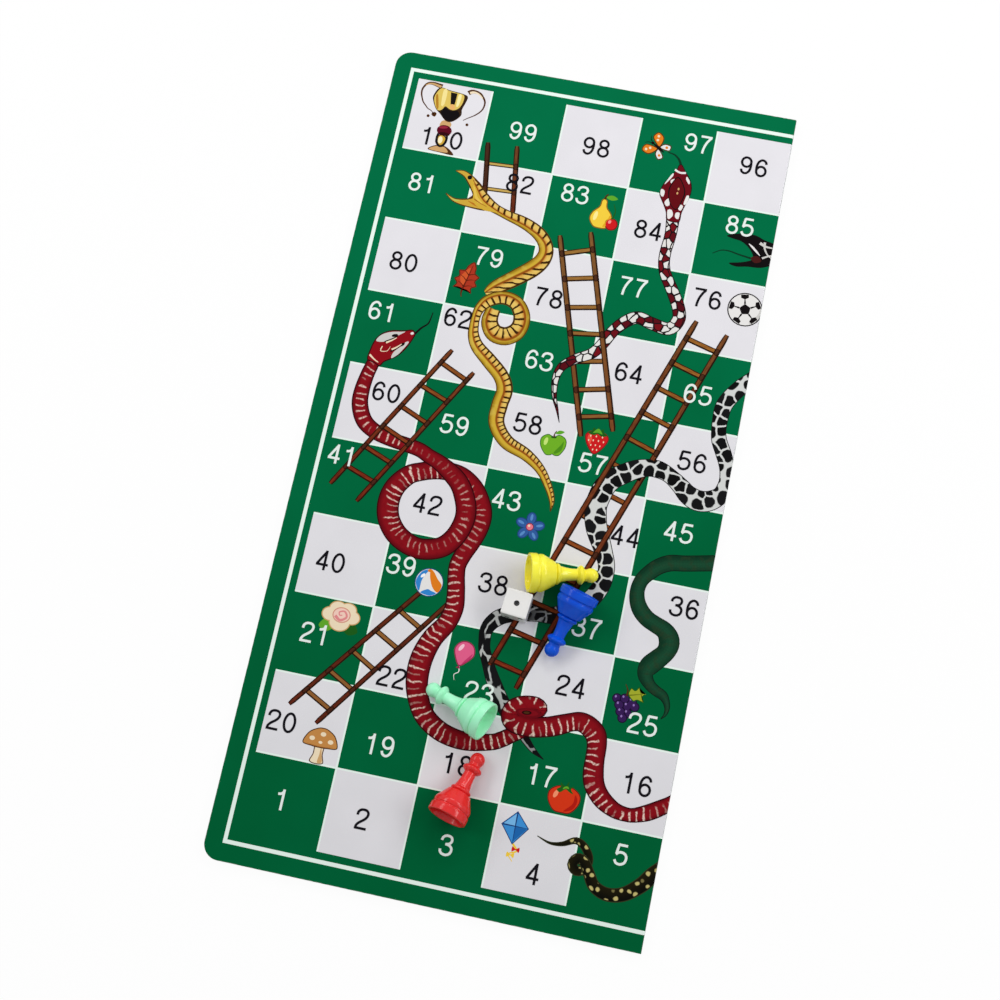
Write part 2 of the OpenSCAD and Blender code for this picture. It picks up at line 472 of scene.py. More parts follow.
def between(table, share):
    """A value, or a row of them, read from pairs of share and value, or the same all along."""
    if not isinstance(table, list):
        return table
    for (s0, v0), (s1, v1) in zip(table, table[1:]):
        if share <= s1:
            t = (share - s0) / max(s1 - s0, 1e-9)
            if isinstance(v0, tuple):
                return tuple(a + (b - a) * t for a, b in zip(v0, v1))
            return v0 + (v1 - v0) * t
    return table[-1][1]


def left_of(points, i, closed):
    """The way to the left of a path at one of its points."""
    count = len(points)
    before = points[(i - 1) % count] if closed or i else points[0]
    after = points[(i + 1) % count] if closed or i + 1 < count else points[-1]
    way = (after.xy - before.xy).normalized()
    return Vector((-way.y, way.x))


def ellipse(centre, wide, high, turn=0.0, steps=28):
    c, s = math.cos(math.radians(turn)), math.sin(math.radians(turn))
    found = []
    for i in range(steps):
        a = 2 * math.pi * i / steps
        x, y = wide * math.cos(a), high * math.sin(a)
        found.append((centre[0] + x * c - y * s, centre[1] + x * s + y * c))
    return found


def turned(points, centre, turn, size=1.0):
    c, s = math.cos(math.radians(turn)) * size, math.sin(math.radians(turn)) * size
    return [Vector((centre[0] + x * c - y * s, centre[1] + x * s + y * c)) for x, y in points]


def inset(points, by):
    """A closed outline moved inwards."""
    area = sum(a.x * b.y - b.x * a.y for a, b in zip(points, points[1:] + points[:1]))
    by = math.copysign(by, area)
    return [p + left_of(points, i, True) * by for i, p in enumerate(points)]


# Shapes of a picture: closed outlines, or rows of layer, ink and outline

CURVE_STEP = 0.03
LINE_STEP = 0.04
LINE_TAPER = 0.7


def oval(x, y, wide, high, turn=0.0):
    return [Vector(p) for p in ellipse((x, y), wide, high, turn)]


def curve(*points):
    return smooth_path(points, CURVE_STEP, True)


def both_sides(*points):
    """A closed curve through points on one side of an upright middle line and their mirror places."""
    return curve(*points, *[(-x, y) for x, y in reversed(points) if x])


def poly(*points):
    return [Vector(p) for p in points]


def line(half, *points):
    """The outline of a stroke that narrows to its end."""
    path = smooth_path(points, LINE_STEP)
    sides = []
    for i, place in enumerate(path):
        sides.append(left_of(path, i, False) * half * (1 - LINE_TAPER * i / len(path)))
    return [p + a for p, a in zip(path, sides)] + [p - a for p, a in zip(path, sides)][::-1]


def rimmed(layer, rim, ink, outline, by=0.05):
    return [(layer, rim, outline), (layer + 1, ink, inset(outline, by))]


def spread(layer, ink, wide, high, *places):
    return [(layer, ink, oval(x, y, wide, high)) for x, y in places]


# Printed layers


def new_object(mesh, name, *materials):
    data = bpy.data.meshes.new(name)
    mesh.to_mesh(data)
    mesh.free()
    for material in materials:
        data.materials.append(material)
    piece = bpy.data.objects.new(name, data)
    bpy.context.scene.collection.objects.link(piece)
    return piece


class Print:
    """A drawing in squares on one half's sheet, made into thin closed plates that follow the fold."""

    def __init__(self, side):
        self.side = side
        self.mesh = bmesh.new()
        self.uv = self.mesh.loops.layers.uv.new("print")
        self.ink = self.mesh.verts.layers.float_color.new("ink")
        self.half = self.mesh.verts.layers.float.new("half")
        self.marks = self.mesh.verts.layers.float_vector.new("marks")

    def point(self, place, height, ink=(0.5, 0.5, 0.5, 1.0), half=1.0, marks=(0.0, 0.0, 0.0)):
        column = place[0] if self.side == "left" else SQUARES - place[0]
        found = self.mesh.verts.new((GRID_X + column * SQUARE, GRID_Y + place[1] * SQUARE, height))
        found[self.ink] = ink
        found[self.half] = half
        found[self.marks] = marks
        return found

    def face(self, points, places=None, material=0):
        found = self.mesh.faces.new(points)
        found.material_index = material
        if places:
            for loop, place in zip(found.loops, places):
                loop[self.uv].uv = place
        return found

    def patch(self, points, ink, height):
        self.face([self.point(p, height, ink) for p in points])

    def picture(self, shapes, height, centre=(0, 0), size=1.0, turn=0.0):
        """Shapes laid over one another by their layers."""
        for index, (layer, ink, points) in enumerate(shapes):
            rise = (layer + SAME_LAYER_STEP * (index % SAME_LAYER_TURNS)) * INK_STEP
            self.patch(turned(points, centre, turn, size), ink, height + rise)

    def ribbon(self, points, levels, marks=(0.0, 0.0, 0.0), material=0):
        """A strip along points that carry its half width; heights and marks as pairs of share and value."""
        run = lengths(points)
        sides = []
        for i, place in enumerate(points):
            share = run[i] / run[-1]
            aside = left_of(points, i, False) * place.z
            level, here = between(levels, share), between(marks, share)
            edges = (place.xy + aside, place.xy - aside)
            sides.append([self.point(edge, level, half=place.z, marks=here) for edge in edges])
        for i in range(len(points) - 1):
            half, next_half = points[i].z, points[i + 1].z
            places = [(run[i], half), (run[i], -half), (run[i + 1], -next_half), (run[i + 1], next_half)]
            self.face([*sides[i], sides[i + 1][1], sides[i + 1][0]], places, material)

    def cut(self, across, at, drop=False):
        geometry = self.mesh.verts[:] + self.mesh.edges[:] + self.mesh.faces[:]
        way = (1, 0, 0) if across == "x" else (0, 1, 0)
        spot = tuple(at * part for part in way)
        bmesh.ops.bisect_plane(self.mesh, geom=geometry, dist=TINY, plane_co=spot, plane_no=way,
                               clear_outer=drop)

    def place(self, point, height):
        """A point of the developed sheet, at a height above it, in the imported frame."""
        over = point.x - BEND_X
        x, z = point.x, SHEET_TOP + height
        if over > 0:
            turn = min(over / BEND_R, math.pi / 2)
            x = BEND_X + (BEND_R + height) * math.sin(turn)
            z = BEND_Z + (BEND_R + height) * math.cos(turn) - max(point.x - BEND_END, 0)
        if self.side == "right":
            z = 2 * FOLD_Z - z
        return Vector((x, point.y, z)) * MM

    def build(self, name, materials, depth=SUNK):
        for step in range(BEND_STEPS + 1):
            self.cut("x", BEND_X + (BEND_END - BEND_X) * step / BEND_STEPS)
        self.cut("x", SHEET_END - SUNK, True)
        made = bmesh.ops.extrude_face_region(self.mesh, geom=self.mesh.faces[:], use_keep_orig=True)
        upper = {item for item in made["geom"] if isinstance(item, bmesh.types.BMVert)}
        for point in self.mesh.verts:
            point.co = self.place(point.co, point.co.z if point in upper else -depth)
        bmesh.ops.recalc_face_normals(self.mesh, faces=self.mesh.faces[:])
        piece = new_object(self.mesh, name, *materials)
        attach(piece, self.side + "_half")
        return piece


# Bare sheet with its squares


def bare_sheet(side, materials):
    """The sheet itself, cut along the edges of the squares: green border, green and white squares."""
    drawing = Print(side)
    outline = [(SHEET_END, -HALF_LENGTH), (SHEET_END, HALF_LENGTH)]
    for corner_y, start in ((HALF_LENGTH - CORNER_R, 90), (CORNER_R - HALF_LENGTH, 180)):
        for step in range(CORNER_STEPS + 1):
            a = math.radians(start + 90 * step / CORNER_STEPS)
            outline.append((LEFT_X + CORNER_R + CORNER_R * math.cos(a), corner_y + CORNER_R * math.sin(a)))
    drawing.face([drawing.mesh.verts.new((x, y, 0)) for x, y in outline])
    for i in range(HALF_COLUMNS + 1):
        drawing.cut("x", GRID_X + i * SQUARE)
    for i in range(SQUARES + 1):
        drawing.cut("y", GRID_Y + i * SQUARE)
    for face in drawing.mesh.faces:
        middle = face.calc_center_median()
        column = math.floor((middle.x - GRID_X) / SQUARE)
        row = math.floor((middle.y - GRID_Y) / SQUARE)
        if side == "right":
            column = SQUARES - 1 - column
        in_grid = 0 <= column < SQUARES and 0 <= row < SQUARES
        face.material_index = 1 if in_grid and (column + row) % 2 else 0
    return drawing.build(side + "_printed_sheet", materials, SHEET_T)


LINE_INK = rgb(234, 248, 240)
LINE_OUT = 0.11
LINE_HALF = 0.024
GRID_LINE_HALF = 0.011
PAST_FOLD = 0.2


def lines(side, ink):
    """The white line round the squares and the thin pale lines between them."""
    drawing = Print(side)
    low, high = -LINE_OUT, SQUARES + LINE_OUT
    if side == "left":
        outer, sign, fold, first = low, 1, HALF_COLUMNS + PAST_FOLD, 0
        left, right = 0, fold
    else:
        outer, sign, fold, first = high, -1, HALF_COLUMNS - PAST_FOLD, HALF_COLUMNS
        left, right = fold, SQUARES

    def bar(x0, x1, y0, y1, height=LINE_H):
        drawing.patch([(x0, y0), (x1, y0), (x1, y1), (x0, y1)], LINE_INK, height)

    for y in (low, high):
        bar(outer - sign * LINE_HALF, fold, y - LINE_HALF, y + LINE_HALF)
    bar(outer - LINE_HALF, outer + LINE_HALF, low + LINE_HALF, high - LINE_HALF)
    for column in range(first, first + HALF_COLUMNS + 1):
        if column not in (0, SQUARES):
            bar(column - GRID_LINE_HALF, column + GRID_LINE_HALF, 0, SQUARES)
    for row in range(1, SQUARES):
        bar(left, right, row - GRID_LINE_HALF, row + GRID_LINE_HALF, LINE_H + INK_STEP)
    return drawing.build(side + "_printed_lines", [ink])


# Numbers: strokes of the digits as rings, curves or lines, in a box of height 1

DIGIT_H = 0.25
DIGIT_BOX = 0.55
DIGIT_WIDE = 1.2
DIGIT_ADVANCE = 0.78
DIGIT_HALF = 0.06
RING_STEPS = 40
DIGIT_STEP = 0.05
INSIDE_ONLY, CLOSE = 1, 1e-5
DIGITS = {
    "0": [("o", (0.275, 0.5, 0.215, 0.445))],
    "1": [("l", [(0.31, 0.0), (0.31, 1.0)]), ("c", [(0.09, 0.75), (0.2, 0.77), (0.28, 0.84), (0.31, 0.94)])],
    "2": [("c", [(0.055, 0.66), (0.07, 0.8), (0.15, 0.91), (0.275, 0.945), (0.41, 0.91), (0.475, 0.79),
                 (0.45, 0.63), (0.35, 0.48), (0.19, 0.33), (0.095, 0.2), (0.065, 0.07)]),
          ("l", [(0.02, 0.055), (0.5, 0.055)])],
    "3": [("c", [(0.055, 0.7), (0.085, 0.84), (0.18, 0.93), (0.28, 0.945), (0.4, 0.91), (0.455, 0.79),
                 (0.43, 0.66), (0.34, 0.57), (0.22, 0.545)]),
          ("c", [(0.22, 0.55), (0.37, 0.52), (0.475, 0.42), (0.495, 0.29), (0.455, 0.15), (0.36, 0.07),
                 (0.26, 0.05), (0.14, 0.085), (0.065, 0.18), (0.045, 0.29)])],
    "4": [("l", [(0.375, 1.0), (0.375, 0.0)]), ("l", [(0.37, 0.94), (0.055, 0.28)]),
          ("l", [(0.02, 0.275), (0.52, 0.275)])],
    "5": [("l", [(0.12, 0.945), (0.48, 0.945)]), ("l", [(0.14, 0.96), (0.085, 0.5)]),
          ("c", [(0.07, 0.48), (0.16, 0.58), (0.28, 0.61), (0.41, 0.565), (0.485, 0.45), (0.49, 0.3),
                 (0.44, 0.15), (0.33, 0.065), (0.23, 0.05), (0.12, 0.09), (0.045, 0.23)])],
    "6": [("o", (0.282, 0.31, 0.2, 0.26)),
          ("c", [(0.47, 0.73), (0.43, 0.86), (0.33, 0.935), (0.24, 0.925), (0.14, 0.82), (0.085, 0.64),
                 (0.075, 0.45), (0.085, 0.31)])],
    "7": [("l", [(0.03, 0.945), (0.51, 0.945)]),
          ("c", [(0.475, 0.93), (0.37, 0.76), (0.28, 0.55), (0.215, 0.3), (0.185, 0.0)])],
    "8": [("o", (0.275, 0.745, 0.175, 0.2)), ("o", (0.275, 0.29, 0.21, 0.24))],
}


def digit_shape(strokes, flip=False):
    """Points and faces of one digit, its strokes merged into one flat shape."""
    points, faces = [], []
    for kind, data in strokes:
        closed = kind == "o"
        if closed:
            path = [Vector(p) for p in ellipse(data[:2], data[2], data[3], 0.0, RING_STEPS)]
        elif kind == "c":
            path = smooth_path(data, DIGIT_STEP)
        else:
            path = [Vector(p) for p in data]
        path = [Vector((p.x * DIGIT_WIDE, p.y)) for p in path]
        start = len(points)
        for i, place in enumerate(path):
            aside = left_of(path, i, closed) * DIGIT_HALF
            points += [place + aside, place - aside]
        count = len(path)
        for i in range(count if closed else count - 1):
            a, b = start + 2 * i, start + 2 * ((i + 1) % count)
            faces.append((a, a + 1, b + 1, b))
    if flip:
        points = [Vector((DIGIT_BOX * DIGIT_WIDE - p.x, 1 - p.y)) for p in points]
    made = delaunay_2d_cdt(points, [], faces, INSIDE_ONLY, CLOSE, True)
    kept = [face for face, source in zip(made[2], made[5]) if source]
    return made[0], kept


SHAPES = {digit: digit_shape(strokes) for digit, strokes in DIGITS.items()}
SHAPES["9"] = digit_shape(DIGITS["6"], True)

LEFT_NUMBERS = {
    100: (0.48, 9.22), 99: (1.51, 9.51), 98: (2.49, 9.48), 97: (3.78, 9.78), 96: (4.54, 9.60),
    81: (0.37, 8.56), 82: (1.62, 8.79), 83: (2.35, 8.79), 84: (3.37, 8.48), 85: (4.51, 8.76),
    80: (0.37, 7.45), 79: (1.44, 7.72), 78: (2.30, 7.33), 77: (3.33, 7.68), 76: (4.28, 7.71),
    61: (0.25, 6.74), 62: (1.22, 6.84), 63: (2.35, 6.49), 64: (3.49, 6.55), 65: (4.39, 6.44),
    60: (0.54, 5.70), 59: (1.48, 5.45), 58: (2.38, 5.65), 57: (3.28, 5.30), 56: (4.48, 5.57),
    41: (0.18, 4.79), 42: (1.37, 4.39), 43: (2.32, 4.64), 44: (3.85, 4.48), 45: (4.48, 4.66),
    40: (0.35, 3.44), 39: (1.22, 3.57), 38: (2.38, 3.57), 37: (3.61, 3.27), 36: (4.72, 3.75),
    21: (0.37, 2.53), 22: (1.41, 2.20), 23: (2.49, 2.23), 24: (3.56, 2.53), 25: (4.49, 2.26),
    20: (0.22, 1.41), 19: (1.45, 1.37), 18: (2.41, 1.34), 17: (3.43, 1.42), 16: (4.56, 1.55),
    1: (0.44, 0.50), 2: (1.44, 0.48), 3: (2.49, 0.39), 4: (3.56, 0.28), 5: (4.53, 0.71),
}
# Places in a square that the unseen half's numbers take in turn
RIGHT_SPOTS = [(0.46, 0.50), (0.38, 0.72), (0.52, 0.30), (0.62, 0.56)]
SPOTS_A_ROW, SPOTS_A_COLUMN = 3, 7
WHITE_INK = rgb(232, 240, 236)
BLACK_INK = rgb(20, 18, 24)


def number_at(column, row):
    """The squares are counted from the lower left, to and fro."""
    return SQUARES * row + (SQUARES - column if row % 2 else column + 1)


def numbers(side, ink):
    drawing = Print(side)
    first = 0 if side == "left" else HALF_COLUMNS
    for row in range(SQUARES):
        for column in range(first, first + HALF_COLUMNS):
            number = number_at(column, row)
            if side == "left":
                middle = Vector(LEFT_NUMBERS[number])
            else:
                turn = SPOTS_A_ROW * row + SPOTS_A_COLUMN * column
                spot = RIGHT_SPOTS[turn % len(RIGHT_SPOTS)]
                middle = Vector((column + spot[0], row + spot[1]))
            colour = BLACK_INK if (column + row) % 2 else WHITE_INK
            text = str(number)
            wide = (len(text) - 1) * DIGIT_ADVANCE + DIGIT_BOX * DIGIT_WIDE
            for i, digit in enumerate(text):
                points, faces = SHAPES[digit]
                shift = Vector((i * DIGIT_ADVANCE - wide / 2, -0.5))
                made = [drawing.point(middle + (p + shift) * DIGIT_H, NUMBER_H, colour) for p in points]
                for face in faces:
                    drawing.face([made[k] for k in face])
    loose = [point for point in drawing.mesh.verts if not point.link_faces]
    bmesh.ops.delete(drawing.mesh, geom=loose, context="VERTS")
    return drawing.build(side + "_printed_numbers", [ink])


# Ladders

# Ends of the left and right rail, half widths of rails and rungs, the rungs' rows on both rails, the
# stretches, as rail and rows, where a snake lies over a ladder, and tones of rungs and rails
LADDERS = {
    "left": [
        dict(
            left=[(1.09, 9.28), (1.2, 8.56)], right=[(1.475, 9.3), (1.61, 8.36)], rail=0.036, rung=0.028,
            level="low", rungs=[(8.99, 9.01), (8.64, 8.66)], rung_tone=(0.9, 0.0),
            rail_tones=((0.0, 0.9), (0.0, 0.25))),
        dict(
            left=[(2.27, 8.19), (3.06, 5.62)], right=[(2.65, 8.31), (3.44, 5.76)], rail=0.038, rung=0.036,
            rungs=[
                (7.95, 8.08), (7.62, 7.71), (7.25, 7.33), (6.92, 6.98), (6.56, 6.64), (6.2, 6.29),
                (5.86, 5.95)],
            covered=[(0, 6.3, 6.8)], low_rungs=(6.3, 6.8), rail_tones=((0.12, 0.1), (0.12, 0.1)),
            rung_tone=(0.22, 0.12)),
        dict(
            left=[(1.24, 6.41), (0.115, 4.405)], right=[(1.57, 6.17), (0.49, 4.25)], rail=0.033, rung=0.034,
            rungs=[(6.22, 6.05), (5.88, 5.73), (5.56, 5.4), (5.26, 5.1), (4.96, 4.81), (4.67, 4.53)],
            down=(0.4, 1.1)),
        dict(
            left=[(1.56, 3.34), (0.26, 1.63)], right=[(1.96, 3.32), (0.63, 1.47)], rail=0.033, rung=0.034,
            level="under", rungs=[(3.02, 2.85), (2.72, 2.55), (2.42, 2.24), (2.13, 1.95), (1.84, 1.66)],
            rail_tones=((0.0, 0.4), (0.0, 0.4)), rung_tone=(0.25, 0.1), down=(0.8, 1.1)),
        dict(
            left=[(4.2, 7.39), (2.54, 2.59)], right=[(4.61, 7.28), (2.91, 2.37)], rail=0.038, rung=0.036,
            rungs=[
                (7.14, 7.03), (6.79, 6.67), (6.43, 6.31), (6.08, 5.95), (5.72, 5.59), (5.36, 5.23),
                (5.0, 4.88), (4.64, 4.53), (4.28, 4.17), (3.87, 3.77), (3.46, 3.37), (3.06, 2.97),
                (2.65, 2.56)],
            covered=[(1, 5.1, 5.5)], low_rungs=(4.5, 5.45)),
    ],
    "right": [
        dict(
            left=[(6.15, 3.72), (5.35, 1.35)], right=[(6.53, 3.62), (5.74, 1.27)], rail=0.036, rung=0.034,
            rungs=[(3.4, 3.3), (3.05, 2.95), (2.7, 2.6), (2.35, 2.25), (2.0, 1.9), (1.65, 1.55)]),
        dict(
            left=[(7.62, 7.35), (8.48, 4.45)], right=[(8.02, 7.46), (8.88, 4.58)], rail=0.038, rung=0.036,
            rungs=[
                (7.1, 7.2), (6.75, 6.85), (6.4, 6.5), (6.05, 6.15), (5.7, 5.8), (5.35, 5.45), (5.0, 5.1),
                (4.7, 4.8)],
            covered=[(0, 4.55, 5.1)], low_rungs=(4.55, 5.1)),
        dict(
            left=[(9.15, 9.42), (8.42, 7.62)], right=[(9.54, 9.3), (8.8, 7.5)], rail=0.036, rung=0.034,
            rungs=[(9.15, 9.0), (8.8, 8.66), (8.45, 8.32), (8.1, 7.97)]),
        dict(
            left=[(9.26, 2.6), (9.32, 0.62)], right=[(9.66, 2.6), (9.72, 0.62)], rail=0.033, rung=0.032,
            rungs=[(2.35, 2.35), (2.0, 2.0), (1.65, 1.65), (1.3, 1.3), (0.95, 0.95)]),
    ],
}
LADDER_LEVELS = {
    "over": (LADDER_H, RAIL_STEP),
    "low": (LOW_LADDER_H, LOW_RAIL_STEP),
    "under": (UNDER_LADDER_H, UNDER_RAIL_STEP),
}
RAIL_ENDS = [(0, 0.75), (0.02, 1.0), (0.98, 1.0), (1, 0.75)]
PLAIN_TONE = (0.0, 0.0)
KNOT_HALF = 0.045
KNOT_SHAPE = [(0, 0.3), (0.3, 0.95), (0.7, 0.95), (1, 0.3)]
KNOT_DARK = 0.8
COVER_SLOPE = 0.02
RUNG_RUN, KNOT_RUN, RAIL_RUN = 0.1, 0.02, 0.06


def on_rail(rail, row):
    """Where a rail crosses a row."""
    (c0, r0), (c1, r1) = rail
    return (c0 + (c1 - c0) * (row - r0) / (r1 - r0), row)


def straight(start, end, half, step):
    """Points on a straight stroke, each with its half width read from pairs of share and value."""
    start, end = Vector(start), Vector(end)
    count = max(1, math.ceil((end - start).length / step))
    found = []
    for i in range(count + 1):
        found.append(Vector((*start.lerp(end, i / count), between(half, i / count))))
    return found


def ladders(side, rail_wood, rung_wood):
    drawing = Print(side)
    for ladder in LADDERS[side]:
        rails = ladder["left"], ladder["right"]
        (_, top), (_, foot) = ladder["left"]
        level, rise = LADDER_LEVELS[ladder.get("level", "over")]
        upper = level + rise
        first_tone, last_tone = ladder.get("down", (0.0, 1.0))
        knot = [(share, ladder["rail"] * part) for share, part in KNOT_SHAPE]
        rail_half = [(share, ladder["rail"] * part) for share, part in RAIL_ENDS]
        low, high = ladder.get("low_rungs", (0, 0))
        for rows in ladder["rungs"]:
            hidden = low < rows[0] < high
            down = first_tone + (last_tone - first_tone) * ((top - rows[0]) / (top - foot))
            ends = [on_rail(rail, row) for rail, row in zip(rails, rows)]
            tone = (down, *ladder.get("rung_tone", PLAIN_TONE))
            rung = straight(*ends, ladder["rung"], RUNG_RUN)
            drawing.ribbon(rung, LOW_LADDER_H if hidden else level, tone, 1)
            for rail, row in zip(rails, () if hidden else rows):
                ends = on_rail(rail, row + KNOT_HALF), on_rail(rail, row - KNOT_HALF)
                drawing.ribbon(straight(*ends, knot, KNOT_RUN), upper + rise, (down, 0.0, KNOT_DARK))
        tones = ladder.get("rail_tones", (PLAIN_TONE, PLAIN_TONE))
        for number, (first, last) in enumerate(rails):
            levels = [(0, upper)]
            for rail, low, high in ladder.get("covered", []):
                if rail == number:
                    start, end = [(first[1] - row) / (first[1] - last[1]) for row in (high, low)]
                    levels += [(start - COVER_SLOPE, upper), (start, LOW_LADDER_H),
                               (end, LOW_LADDER_H), (end + COVER_SLOPE, upper)]
            levels.append((1, upper))
            tone = [(0, (first_tone, *tones[number])), (1, (last_tone, *tones[number]))]
            drawing.ribbon(straight(first, last, rail_half, RAIL_RUN), levels, tone)
    return drawing.build(side + "_printed_ladders", [rail_wood, rung_wood])


# Snakes

PLAIN_NET = (0.0, 0.0, 1.0)
RED_BARS = (-0.9, 0.6, 1.0)
